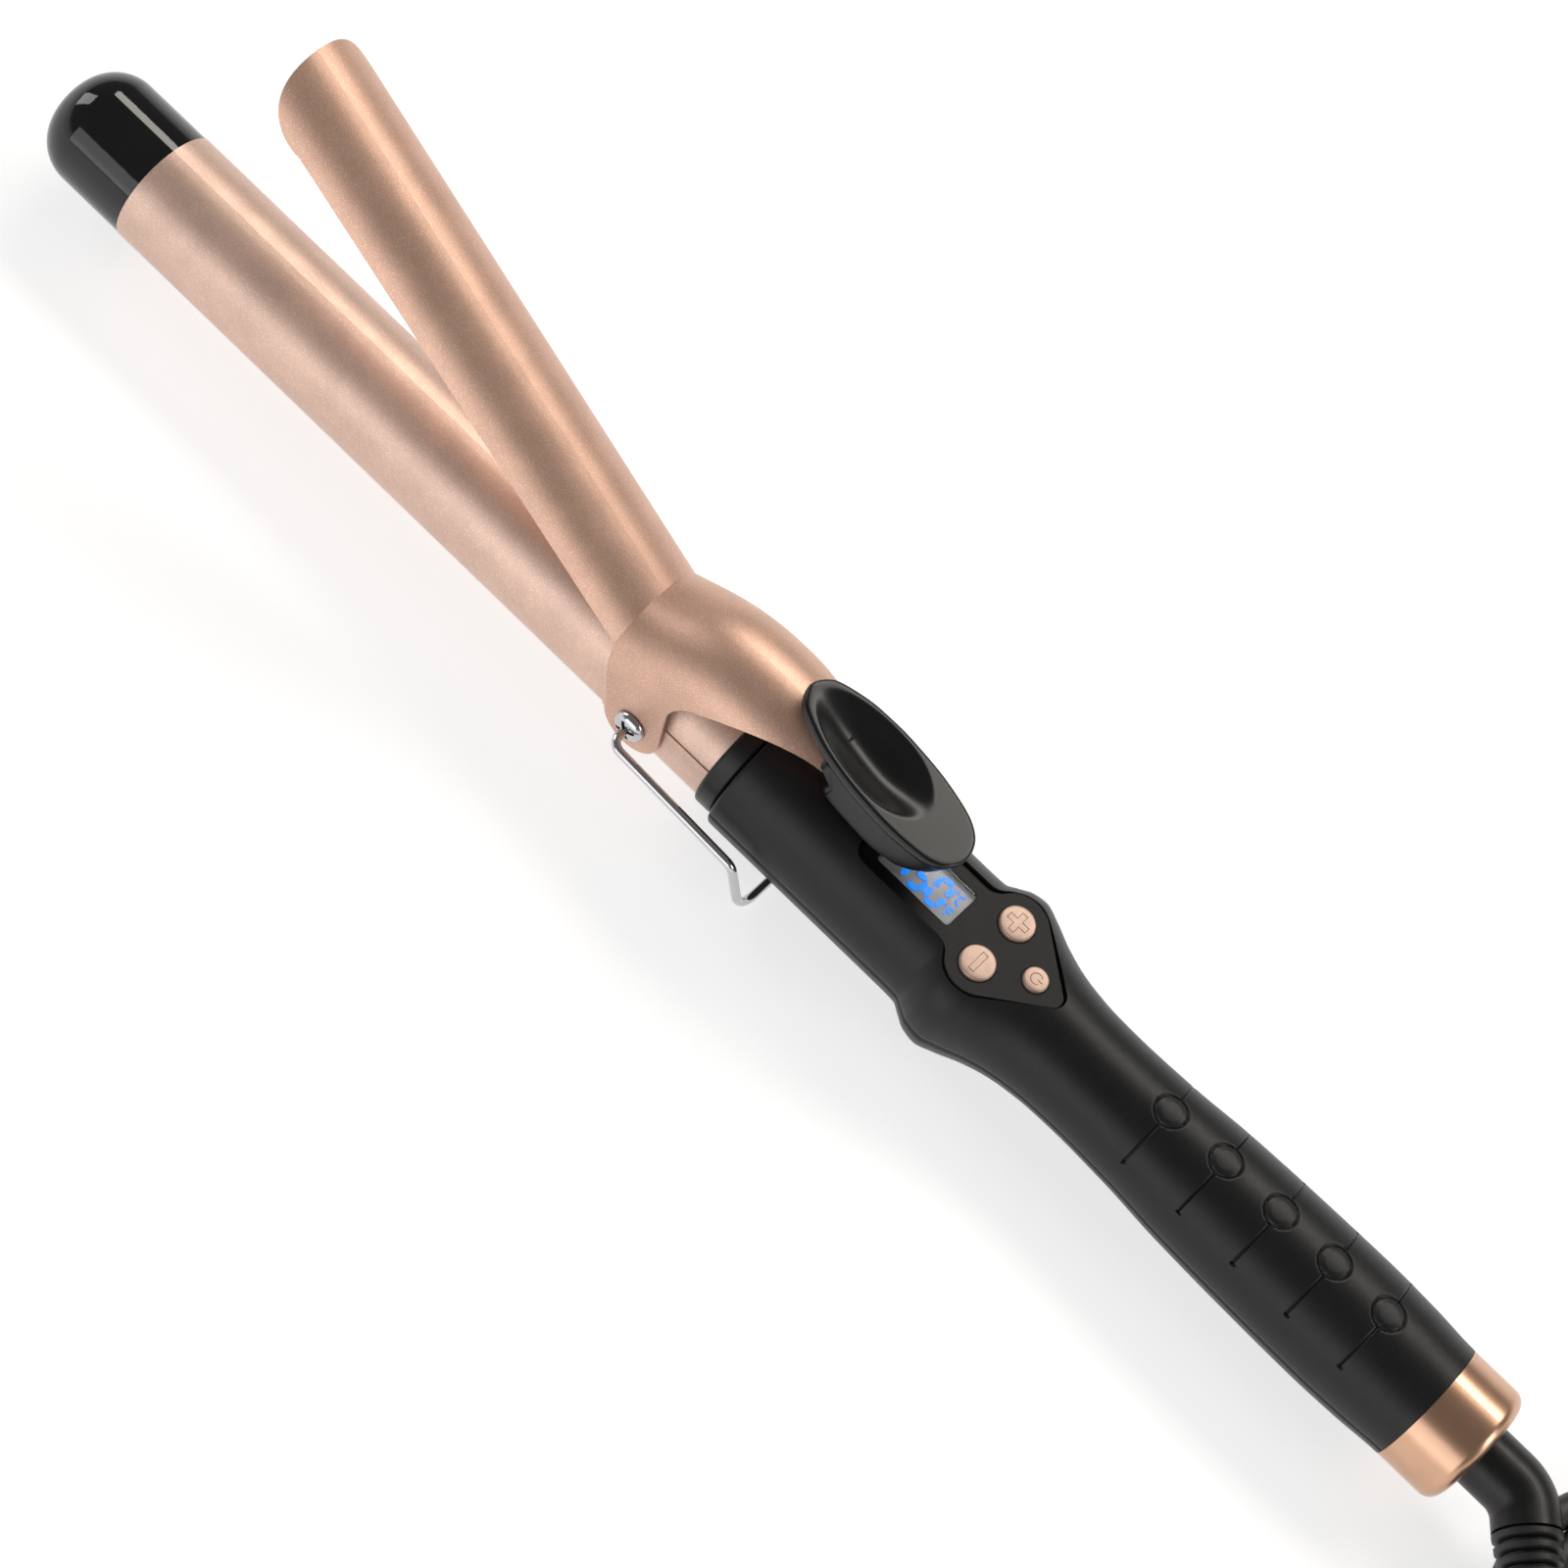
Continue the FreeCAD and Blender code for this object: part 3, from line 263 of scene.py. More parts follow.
def wire(name, lines, radius, rounding, paint, body, stands_for=(), caps=False):
    """Round wires along lines, each (points in the axis frame, closed)."""
    curve = bpy.data.curves.new(name, "CURVE")
    curve.dimensions = "3D"
    curve.bevel_depth = radius * MM
    curve.bevel_resolution = rounding
    curve.use_fill_caps = caps
    for points, closed in lines:
        line = curve.splines.new("POLY")
        line.points.add(len(points) - 1)
        for point, spot in zip(line.points, points):
            point.co = (*place(*spot), 1)
        line.use_cyclic_u = closed
    curve.materials.append(paint)
    mount(name, curve, body, stands_for)


def grid_faces(rows, columns, wrap=False, start=0):
    """Quads of a grid of points, row by row; wrap joins each row's end to its start."""
    last = columns if wrap else columns - 1
    return [(start + r * columns + c, start + r * columns + (c + 1) % columns,
             start + (r + 1) * columns + (c + 1) % columns, start + (r + 1) * columns + c)
            for r in range(rows - 1) for c in range(last)]


def closed_rings(rings):
    """Points and faces of a solid through closed rings, with its two end rings filled."""
    columns = len(rings[0])
    verts = [p for ring in rings for p in ring]
    faces = grid_faces(len(rings), columns, wrap=True)
    faces.append(list(range(columns)))
    faces.append(list(range((len(rings) - 1) * columns, len(rings) * columns)))
    return verts, faces


def lathe(origin, direction, profile, steps=64):
    """Points and faces of (along, radius) stations turned about an axis; mm, axis frame."""
    axis = Vector(direction).normalized()
    side = axis.orthogonal().normalized()
    other = axis.cross(side)
    rings = []
    for along, radius in profile:
        ring = []
        for k in range(steps):
            turn = 2 * math.pi * k / steps
            spot = Vector(origin) + axis * along
            spot += (side * math.cos(turn) + other * math.sin(turn)) * radius
            ring.append(place(*spot))
        rings.append(ring)
    return closed_rings(rings)


def carve(target, cutters):
    """Cuts closed meshes out of a piece, and removes them."""
    for cutter in cutters:
        step = target.modifiers.new("cut", "BOOLEAN")
        step.operation = "DIFFERENCE"
        step.solver = "EXACT"
        step.object = cutter
    shape = bpy.data.meshes.new_from_object(
        target.evaluated_get(bpy.context.evaluated_depsgraph_get()))
    target.modifiers.clear()
    target.data = shape
    for cutter in cutters:
        bpy.data.objects.remove(cutter)


def loose(name, verts, faces):
    """A mesh that only cuts others."""
    return add(name, solid_mesh(name, verts, faces))


# ---- cord --------------------------------------------------------------------------------

BEND = Vector((192.4, 0, 0))
OUT = Vector((math.cos(math.radians(48)), -math.sin(math.radians(48)), 0))
RELIEF_END = BEND + OUT * 33.0
LOW_Z = -15.45
LAYER = 6.05
CORD_RADIUS = 3.0
LEAD_OUT = [
    RELIEF_END,
    RELIEF_END + OUT * 16.0,
    (240.0, -41.5, -4.0),
    (257.0, -41.8, -10.0),
    (273.0, -41.0, -14.6),
    (290.0, -38.6, LOW_Z),
    (306.0, -32.8, LOW_Z),
    (324.8, -23.7, LOW_Z),
]
TAIL = [(298.0, 31.8, -8.8), (284.0, 28.6, -2.6), (272.0, 24.9, 0.6), (262.0, 23.4, 0.85)]


def hank_points():
    """Turns about two folds: inward on the floor, then outward on top of them."""
    near_x, far_x, middle_y = 227.5, 307.5, 1.0
    outer_radius = 30.2
    pitch = 6.1
    turns_in = 2.5
    climb_from, climb_turns = 2.25, 0.4
    per_turn = 12
    points = []
    for step in range(int(2 * turns_in * per_turn) + 3):
        turn = step / per_turn
        radius = outer_radius - pitch * min(turn, 2 * turns_in - turn)
        rise = min(1, max(0, (turn - climb_from) / climb_turns))
        z = LOW_Z + LAYER * rise
        place_in_turn = step % per_turn
        side = 1 if place_in_turn < 8 else -1
        if place_in_turn in (3, 4, 9, 10):
            shares = {3: 2 / 3, 4: 1 / 3, 9: 1 / 3, 10: 2 / 3}
            x = near_x + (far_x - near_x) * shares[place_in_turn]
            points.append((x, middle_y + side * radius, z))
            continue
        fold_x, first = (near_x, 5) if 5 <= place_in_turn <= 8 else (far_x, 0)
        angle = math.radians(112.5 + 45 * (place_in_turn - first))
        if fold_x == far_x:
            angle = math.radians(-22.5 + 45 * (place_in_turn - (12 if place_in_turn == 11 else 0)))
        reach = radius / math.cos(math.radians(22.5))
        points.append((fold_x + math.cos(angle) * reach, middle_y + math.sin(angle) * reach, z))
    return points


def make_cord():
    """The cord from the strain relief to the plug, one smooth line."""
    route = [tuple(p) for p in LEAD_OUT] + hank_points() + TAIL
    curve = bpy.data.curves.new("cord", "CURVE")
    curve.dimensions = "3D"
    line = curve.splines.new("NURBS")
    line.points.add(len(route) - 1)
    for point, spot in zip(line.points, route):
        point.co = (*place(*spot), 1)
    line.order_u = 3
    line.use_endpoint_u = True
    line.resolution_u = 10
    curve.bevel_depth = CORD_RADIUS * MM
    curve.bevel_resolution = 6
    curve.materials.append(RUBBER)
    cord = add("cord", curve)
    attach(cord, "swivel")
    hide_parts("cord_tube", "cord_hank", "cord_tail")
    return cord


def make_tie():
    """A soft strap round the near side of the folded cord."""
    low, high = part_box("cord_tie")
    x0, x1 = (low.x - SHIFT_X) / MM, (high.x - SHIFT_X) / MM
    y0, y1 = low.y / MM + 1.6, high.y / MM - 0.2
    z0, z1 = LOW_Z - 2.95, LOW_Z + LAYER + 3.3
    middle_y, half_y = (y0 + y1) / 2, (y1 - y0) / 2
    middle_z, half_z = (z0 + z1) / 2, (z1 - z0) / 2
    stations = ((0.9, x0), (1.1, x0 + 0.3), (1.1, x1 - 0.3), (0.9, x1))
    columns = 40
    squareness = 0.45
    outer = []
    inner = []
    for thick, x in stations:
        for k in range(columns):
            turn = 2 * math.pi * k / columns
            c, s = math.cos(turn), math.sin(turn)
            y = math.copysign(abs(c) ** squareness, c)
            z = math.copysign(abs(s) ** squareness, s)
            outer.append(place(x, middle_y + y * half_y, middle_z + z * half_z))
            inner.append(place(x, middle_y + y * (half_y - thick), middle_z + z * (half_z - thick)))
    rows = len(stations)
    count = rows * columns
    last = count - columns
    faces = grid_faces(rows, columns, True) + grid_faces(rows, columns, True, start=count)
    for k in range(columns):
        n = (k + 1) % columns
        faces.append((k, n, count + n, count + k))
        faces.append((last + k, last + n, count + last + n, count + last + k))
    return piece("cord_strap", outer + inner, faces, TIE, "swivel", ["cord_tie"],
                 sharp_deg=50)


def make_plug():
    """The moulded plug body: rounded sections along its length, with grip ridges."""
    low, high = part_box("plug_body")
    start = (low.x - SHIFT_X) / MM
    end = (high.x - SHIFT_X) / MM
    middle_y = (low.y + high.y) / 2 / MM
    middle_z = ((low.z + high.z) / 2 - AXIS_Z) / MM
    half_y, half_z = (high.y - low.y) / 2 / MM, (high.z - low.z) / 2 / MM
    length = end - start
    rear_radius = 4.3
    grip_from, ridges = 0.62, 15
    rings = []
    for k in range(61):
        share = k / 60
        x = start + length * share
        front = min(1, share / 0.05)
        body = 0.93 + 0.07 * math.sqrt(1 - (1 - front) ** 2)
        taper = min(1, max(0, (share - 0.52) / 0.36))
        taper = taper * taper * (3 - 2 * taper)
        wide = (half_y * (1 - taper) + rear_radius * taper) * body
        tall = (half_z * (1 - taper) + rear_radius * taper) * body
        if share > grip_from:
            dip = 0.35 * (0.5 - 0.5 * math.cos((share - grip_from) * 2 * math.pi * ridges))
            wide -= dip
            tall -= dip
        power = 2 / (4.5 * (1 - taper) + 2 * taper)
        ring = []
        for j in range(72):
            turn = 2 * math.pi * j / 72
            c, s = math.cos(turn), math.sin(turn)
            ring.append(place(x, middle_y + math.copysign(abs(c) ** power, c) * wide,
                              middle_z + math.copysign(abs(s) ** power, s) * tall))
        rings.append(ring)
    verts, faces = closed_rings(rings)
    return piece("plug_moulding", verts, faces, RUBBER, "swivel", ["plug_body"],
                 sharp_deg=55)


cord = make_cord()
strap = make_tie()
plug = make_plug()


def make_relief():
    """The ribbed sleeve over the cord, from the elbow on."""
    start = BEND + OUT * 5.2
    profile = [(0, 5.2), (0.4, 6.5), (1.2, 6.7)]
    ribs = 10
    pitch = 2.45
    for rib in range(ribs):
        base = 1.6 + rib * pitch
        size = 6.75 - 2.1 * rib / (ribs - 1)
        profile += [(base, size - 1.25), (base + 0.4, size - 1.3), (base + 0.55, size - 0.35),
                    (base + 0.8, size), (base + 1.8, size - 0.06), (base + 2.05, size - 0.4)]
    profile += [(base + 2.3, 4.2), (27.4, 3.9), (27.6, 3.1)]
    verts, faces = lathe(start, OUT, profile, 56)
    piece("ribbed_relief", verts, faces, RUBBER, "swivel", ["strain_relief"],
          sharp_deg=40)


make_relief()


# ---- handle ------------------------------------------------------------------------------

PARTING_Z = -2.0
# x, half width, half height, superellipse power
STATIONS = np.array([
    (-6.0, 15.3, 15.3, 2.0), (20.0, 15.3, 15.3, 2.0), (32.0, 15.3, 15.3, 2.0),
    (40.0, 15.3, 15.3, 2.0), (43.8, 15.45, 15.3, 2.0), (46.2, 16.7, 15.3, 2.1),
    (49.0, 18.0, 15.3, 2.3), (52.0, 18.35, 15.2, 2.4), (56.0, 17.1, 14.8, 2.3),
    (61.0, 15.0, 14.1, 2.15), (66.0, 13.5, 13.3, 2.05), (70.0, 12.8, 12.8, 2.0),
    (76.0, 12.2, 12.2, 2.0), (83.0, 12.05, 12.05, 2.0), (96.0, 12.4, 12.4, 2.0),
    (110.0, 13.35, 13.35, 2.0), (127.0, 13.9, 13.9, 2.0), (146.0, 14.15, 14.15, 2.0),
    (157.0, 13.85, 13.85, 2.0), (167.5, 13.25, 13.25, 2.0)])


def eased(x, xs, ys):
    """A smooth curve through stations that never overshoots them."""
    gaps = np.diff(xs)
    slopes = np.diff(ys) / gaps
    tangents = np.zeros(len(xs))
    for k in range(1, len(xs) - 1):
        if slopes[k - 1] * slopes[k] > 0:
            w1 = 2 * gaps[k] + gaps[k - 1]
            w2 = gaps[k] + 2 * gaps[k - 1]
            tangents[k] = (w1 + w2) / (w1 / slopes[k - 1] + w2 / slopes[k])
    k = np.clip(np.searchsorted(xs, x) - 1, 0, len(xs) - 2)
    t = (x - xs[k]) / gaps[k]
    return ((1 + 2 * t) * (1 - t) ** 2 * ys[k] + t * (1 - t) ** 2 * gaps[k] * tangents[k]
            + t * t * (3 - 2 * t) * ys[k + 1] + t * t * (t - 1) * gaps[k] * tangents[k + 1])


MARKS_X = (96.1, 109.7, 123.4, 136.9, 150.5)
CIRCLE_RADIUS, ARM_END = 3.35, 14.2


def groove(distance, half):
    """1 at the middle of a groove, easing to 0 at its edge."""
    share = np.clip(np.abs(distance) / half, 0, 1)
    return 0.5 + 0.5 * np.cos(math.pi * share)


def grip_marks(x, around):
    """Height added to the skin by the grip marks; around is the distance from the top line."""
    height = np.zeros_like(x)
    for mark in MARKS_X:
        dx = x - mark
        far = np.hypot(dx, around)
        height -= 0.42 * groove(far - CIRCLE_RADIUS, 0.40)
        rim = np.clip((2.5 - far) / 0.3, 0, 1)
        height += 0.08 * rim * rim * (3 - 2 * rim)
        arm = (np.abs(around) > CIRCLE_RADIUS) & (np.abs(around) < ARM_END)
        height -= np.where(arm, 0.40 * groove(dx, 0.36), 0)
        tick = (dx > -0.3) & (dx < 1.0)
        height -= np.where(tick, 0.34 * groove(np.abs(around) - 14.0, 0.36), 0)
    return height


def handle_half(name, side, node):
    """A thick half shell of the handle: side 1 is above the parting plane, -1 below it."""
    ends = [(-6.0, 0.9), (-5.85, 0.45), (-5.5, 0.12), (-5.0, 0.0)]
    xs = [x for x, _ in ends] + list(np.arange(-4.0, 42.0, 1.0)) + list(np.arange(42.0, 70.0, 0.5))
    xs += list(np.arange(70.0, 90.0, 1.0))
    step = 0.25 if side > 0 else 1.0
    xs += list(np.arange(90.0, 156.0, step)) + list(np.arange(156.0, 167.3, 0.8)) + [167.4]
    xs = np.array(xs)
    inset_x = np.array([inset for _, inset in ends] + [0.0] * (len(xs) - len(ends)))
    half_y = eased(xs, STATIONS[:, 0], STATIONS[:, 1])
    half_z = eased(xs, STATIONS[:, 0], STATIONS[:, 2])
    power = eased(xs, STATIONS[:, 0], STATIONS[:, 3])
    if side > 0:
        shares = np.concatenate([np.linspace(0, 0.19, 16), np.linspace(0.19, 0.81, 118)[1:-1],
                                 np.linspace(0.81, 1, 16)])
    else:
        shares = np.linspace(0, 1, 72)
    lip = np.interp(np.minimum(shares, 1 - shares), [0, 0.006, 0.015], [0.28, 0.06, 0.0])

    def skin(inset, detail):
        wide = (half_y - inset_x - inset)[:, None] - (lip[None, :] if detail else 0)
        tall = (half_z - inset_x - inset)[:, None] - (lip[None, :] if detail else 0)
        p = power[:, None]
        start = -side * np.arcsin((abs(PARTING_Z) / tall) ** (p / 2))
        angle = start + (math.pi - 2 * start) * shares[None, :]
        c, s = np.cos(angle), np.sin(angle)
        if detail and side > 0:
            around = (math.pi / 2 - angle) * wide
            bump = grip_marks(np.repeat(xs[:, None], len(shares), 1), around)
            wide = wide + bump
            tall = tall + bump
        y = np.sign(c) * np.abs(c) ** (2 / p) * wide
        z = side * np.sign(s) * np.abs(s) ** (2 / p) * tall
        x = np.repeat(xs[:, None], len(shares), 1)
        return np.stack([x, y, z], -1).reshape(-1, 3)

    rows, columns = len(xs), len(shares)
    inner = rows * columns
    wall = 4.6 if side > 0 else 2.2
    points = np.concatenate([skin(0.0, True), skin(wall, False)])
    points = points * MM + np.array([SHIFT_X, 0, AXIS_Z])
    faces = grid_faces(rows, columns) + grid_faces(rows, columns, start=inner)
    for r in range(rows - 1):
        for c in (0, columns - 1):
            a, b = r * columns + c, (r + 1) * columns + c
            faces.append((a, b, inner + b, inner + a))
    for r in (0, rows - 1):
        for c in range(columns - 1):
            a, b = r * columns + c, r * columns + c + 1
            faces.append((a, b, inner + b, inner + a))
    return piece(name, points, faces, HANDLE_BLACK, "iron", [node])


LOBE = (51.2, 5.8, 6.8)
TIP = (65.2, 0.0, 2.6)
STRIP = (20.0, 7.6, 2.5)
NECK_R = 4.0


def panel_outline(grow):
    """The panel's outline from above, grown all round: strip, concave necks, lobes and tip."""
    front, half, corner = STRIP
    x, y, r = LOBE
    tip_x, _, tip_r = TIP
    lean = math.atan2(y, tip_x - x) + math.asin((r - tip_r) / math.hypot(tip_x - x, y))
    neck_y = half + NECK_R
    neck_x = x - math.sqrt((r + NECK_R) ** 2 - (neck_y - y) ** 2)
    join = math.atan2(neck_y - y, neck_x - x)
    arcs = [
        (front + corner, half - corner, corner + grow, math.pi, math.pi / 2),
        (neck_x, neck_y, NECK_R - grow, -math.pi / 2, join - math.pi),
        (x, y, r + grow, join, math.pi / 2 - lean),
        (tip_x, 0.0, tip_r + grow, math.pi / 2 - lean, 0.0),
    ]
    upper = []
    for cx, cy, radius, a0, a1 in arcs:
        steps = max(6, int(abs(a1 - a0) * 8))
        for k in range(steps + 1):
            angle = a0 + (a1 - a0) * k / steps
            upper.append((cx + radius * math.cos(angle), cy + radius * math.sin(angle)))
    return upper + [(x, -y) for x, y in reversed(upper[:-1])]


def prism(outline, z0, z1):
    """Points and faces of an upright prism in the axis frame."""
    return closed_rings([[place(x, y, z) for x, y in outline] for z in (z0, z1)])


def disc(x, y, radius, count=48):
    """A circle's points."""
    return [(x + radius * math.cos(2 * math.pi * k / count),
             y + radius * math.sin(2 * math.pi * k / count)) for k in range(count)]


upper = handle_half("handle_top", 1, "handle_upper_shell")
carve(upper, [loose("recess", *prism(panel_outline(0.3), 8.0, 25.0))])
upper.data.set_sharp_from_angle(angle=math.radians(38))
lower = handle_half("handle_bottom", -1, "handle_lower_shell")
holes = [loose(f"hole_{k}", *prism(disc(x, y, 2.25, 32), -30.0, -6.0))
         for k, (x, y) in enumerate(((50.0, -13.4), (50.0, 13.4), (125.0, 0.0)))]
carve(lower, holes)
lower.data.set_sharp_from_angle(angle=math.radians(38))


# ---- control panel -----------------------------------------------------------------------

PANEL_Z = 12.2
ENGRAVE_Z = PANEL_Z + 0.79
BUTTONS = {"plus": (51.1, 6.05, 3.7), "minus": (51.1, -6.05, 3.7), "power": (61.0, 0.0, 2.65)}


def plate(name, outlines, z0, z1, edge, paint, body, stands_for=()):
    """A flat plate with holes and rounded edges, from outlines in the axis frame."""
    curve = bpy.data.curves.new(name, "CURVE")
    curve.dimensions = "2D"
    curve.fill_mode = "BOTH"
    for outline in outlines:
        line = curve.splines.new("POLY")
        line.points.add(len(outline) - 1)
        for point, (x, y) in zip(line.points, outline):
            point.co = (x * MM, y * MM, 0, 1)
        line.use_cyclic_u = True
    curve.extrude = (z1 - z0) / 2 * MM - edge * MM
    curve.bevel_depth = edge * MM
    curve.bevel_resolution = 3
    curve.offset = -edge * MM
    source = add(name + "_outline", curve)
    mesh = bpy.data.meshes.new_from_object(
        source.evaluated_get(bpy.context.evaluated_depsgraph_get()))
    bpy.data.objects.remove(source)
    mesh.transform(Matrix.Translation(place(0, 0, (z0 + z1) / 2)))
    mesh.materials.clear()
    mesh.materials.append(paint)
    mesh.polygons.foreach_set("use_smooth", [True] * len(mesh.polygons))
    mesh.set_sharp_from_angle(angle=math.radians(30))
    return mount(name, mesh, body, stands_for)


def rounded(x0, x1, half, corner):
    """A rounded rectangle's points, centred on y = 0."""
    points = []
    for cx, cy, first in ((x1 - corner, half - corner, 0), (x0 + corner, half - corner, 90),
                          (x0 + corner, corner - half, 180), (x1 - corner, corner - half, 270)):
        for k in range(7):
            turn = math.radians(first + 15 * k)
            points.append((cx + corner * math.cos(turn), cy + corner * math.sin(turn)))
    return points


openings = [disc(x, y, r + 0.12) for x, y, r in BUTTONS.values()]
plate("panel_plate", [panel_outline(-0.05), rounded(23.8, 42.2, 4.7, 0.8)] + openings,
      PANEL_Z - 1.4, PANEL_Z, 0.15, PANEL_BLACK, "iron", ["control_panel"])


def button_cap(name, x, y, radius):
    """A push button: a slightly domed top, a rounded edge, a flange and a stem below."""
    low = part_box("button_" + name)[0].z
    base = (low - AXIS_Z) / MM
    top = PANEL_Z + 0.8
    flange_low, flange_top = 9.6, 10.6
    profile = [(base, 0.9), (base, 1.5), (flange_low, 1.5), (flange_low, radius + 0.6),
               (flange_top, radius + 0.6), (flange_top, radius),
               (top - 0.45, radius), (top - 0.2, radius - 0.07),
               (top - 0.07, radius - 0.2), (top - 0.02, radius - 0.42),
               (top, radius * 0.6), (top + 0.02, radius * 0.2)]
    verts, faces = lathe((x, y, 0), (0, 0, 1), profile, 72)
    piece(name + "_cap", verts, faces, BUTTON, name, ["button_" + name],
          sharp_deg=35)


def engraved(name, strokes, body):
    """Fine lines set into a button's top, along strokes of (points, closed)."""
    lines = [([(x, y, ENGRAVE_Z) for x, y in points], closed) for points, closed in strokes]
    wire(name, lines, 0.09, 2, ENGRAVED, body)


def arc_points(x, y, radius, a0, a1, count=24):
    """Points along an arc, in degrees."""
    return [(x + radius * math.cos(math.radians(a0 + (a1 - a0) * k / count)),
             y + radius * math.sin(math.radians(a0 + (a1 - a0) * k / count)))
            for k in range(count + 1)]


for name, (x, y, radius) in BUTTONS.items():
    button_cap(name, x, y, radius)
x, y, _ = BUTTONS["plus"]
arm, thin = 2.3, 0.62
corners = [(arm, thin), (thin, thin), (thin, arm), (-thin, arm), (-thin, thin), (-arm, thin),
           (-arm, -thin), (-thin, -thin), (-thin, -arm), (thin, -arm), (thin, -thin), (arm, -thin)]
engraved("plus_sign", [([(x + dx, y + dy) for dx, dy in corners], True)], "plus")
x, y, _ = BUTTONS["minus"]
bar = [(thin, arm), (-thin, arm), (-thin, -arm), (thin, -arm)]
engraved("minus_sign", [([(x + dx, y + dy) for dx, dy in bar], True)], "minus")
x, y, _ = BUTTONS["power"]
engraved("power_sign", [(arc_points(x, y, 1.2, 40, 320), False),
                        ([(x + 0.2, y), (x + 1.5, y)], False)], "power")

# seven bars of a digit: which corners each joins, on a grid of 2 columns and 3 rows
BARS = {"a": ((0, 2), (1, 2)), "b": ((1, 1), (1, 2)), "c": ((1, 0), (1, 1)), "d": ((0, 0), (1, 0)),
        "e": ((0, 0), (0, 1)), "f": ((0, 1), (0, 2)), "g": ((0, 1), (1, 1))}
DIGITS = (("bc", 26.2), ("acdfg", 30.6), ("abcdef", 35.0))


def display_signs():
    """The number 150 as bars, with small degree C and degree F signs at its right."""
    verts, faces = [], []
    z, thick = 10.86, 0.12
    wide, tall = 3.0, 3.1
    small_wide, small_tall = 1.2, 1.05

    def bar(a, b, half):
        run = Vector((b[0] - a[0], b[1] - a[1]))
        along = run.normalized()
        across = Vector((-along.y, along.x))
        a, b = Vector(a) + along * half * 0.35, Vector(b) - along * half * 0.35
        outline = [a, a + along * half + across * half, b - along * half + across * half, b,
                   b - along * half - across * half, a + along * half - across * half]
        start = len(verts)
        for height in (z, z + thick):
            verts.extend(place(p.x, p.y, height) for p in outline)
        faces.append([start + k for k in range(6)])
        faces.append([start + 6 + k for k in range(6)])
        faces.extend((start + k, start + (k + 1) % 6, start + 6 + (k + 1) % 6, start + 6 + k)
                     for k in range(6))

    for lit, left in DIGITS:
        for name in lit:
            (c0, r0), (c1, r1) = BARS[name]
            bar((left + c0 * wide, -tall + r0 * tall), (left + c1 * wide, -tall + r1 * tall), 0.60)
    for lit, low in (("adef", 0.75), ("aefg", -2.9)):
        for name in lit:
            (c0, r0), (c1, r1) = BARS[name]
            bar((39.9 + c0 * small_wide, low + r0 * small_tall),
                (39.9 + c1 * small_wide, low + r1 * small_tall), 0.24)
        for k in range(6):
            p, q = [(39.1 + 0.32 * math.cos(math.radians(60 * n)),
                     low + 2.0 + 0.32 * math.sin(math.radians(60 * n))) for n in (k, k + 1)]
            bar(p, q, 0.1)
    piece("display_digits", verts, faces, LCD_BLUE, "iron", smooth=False)


display_signs()


# ---- thumb rest --------------------------------------------------------------------------

PAD_TILT = math.radians(9.5)
PAD_FRONT = Vector((-5.9, 0, 34.1))
PAD_MIDDLE_X = 20.0
DISH_DEPTH, DISH_HALF = 3.4, 7.3
DISH_RINGS = 36
PAD_SIDE = [(0.0, 0.0), (0.9, 2.6), (3.2, 4.9), (9.5, 7.2), (15.0, 8.1), (20.0, 8.5), (28.0, 8.4),
            (34.0, 7.7), (38.6, 6.6), (41.6, 4.8), (43.1, 2.5), (43.6, 0.0)]


def on_clip(x, y, z):
    """A point given in the thumb rest's own frame, x along it from its front tip."""
    c, s = math.cos(PAD_TILT), math.sin(PAD_TILT)
    return place(PAD_FRONT.x + x * c + z * s, y, PAD_FRONT.z - x * s + z * c)


def smooth_loop(points, count):
    """Evenly spaced points on a closed smooth curve through the given ones."""
    loop = np.array(points, float)
    n = len(loop)
    fine = []
    for k in range(n):
        p0, p1, p2, p3 = (loop[(k + j) % n] for j in (-1, 0, 1, 2))
        for t in np.linspace(0, 1, 24, endpoint=False):
            fine.append(0.5 * (2 * p1 + (p2 - p0) * t + (2 * p0 - 5 * p1 + 4 * p2 - p3) * t * t
                               + (3 * p1 - p0 - 3 * p2 + p3) * t ** 3))
    fine = np.array(fine + fine[:1])
    run = np.concatenate([[0], np.cumsum(np.linalg.norm(np.diff(fine, axis=0), axis=1))])
    spots = np.linspace(0, run[-1], count, endpoint=False)
    return np.stack([np.interp(spots, run, fine[:, 0]), np.interp(spots, run, fine[:, 1])], 1)


def inward(loop, distance):
    """The loop moved in by a distance."""
    along = np.roll(loop, -1, 0) - np.roll(loop, 1, 0)
    along /= np.linalg.norm(along, axis=1)[:, None]
    normal = np.stack([-along[:, 1], along[:, 0]], 1)
    middle = loop.mean(0)
    sign = np.sign(np.sum((middle - loop) * normal))
    return loop + normal * distance * sign


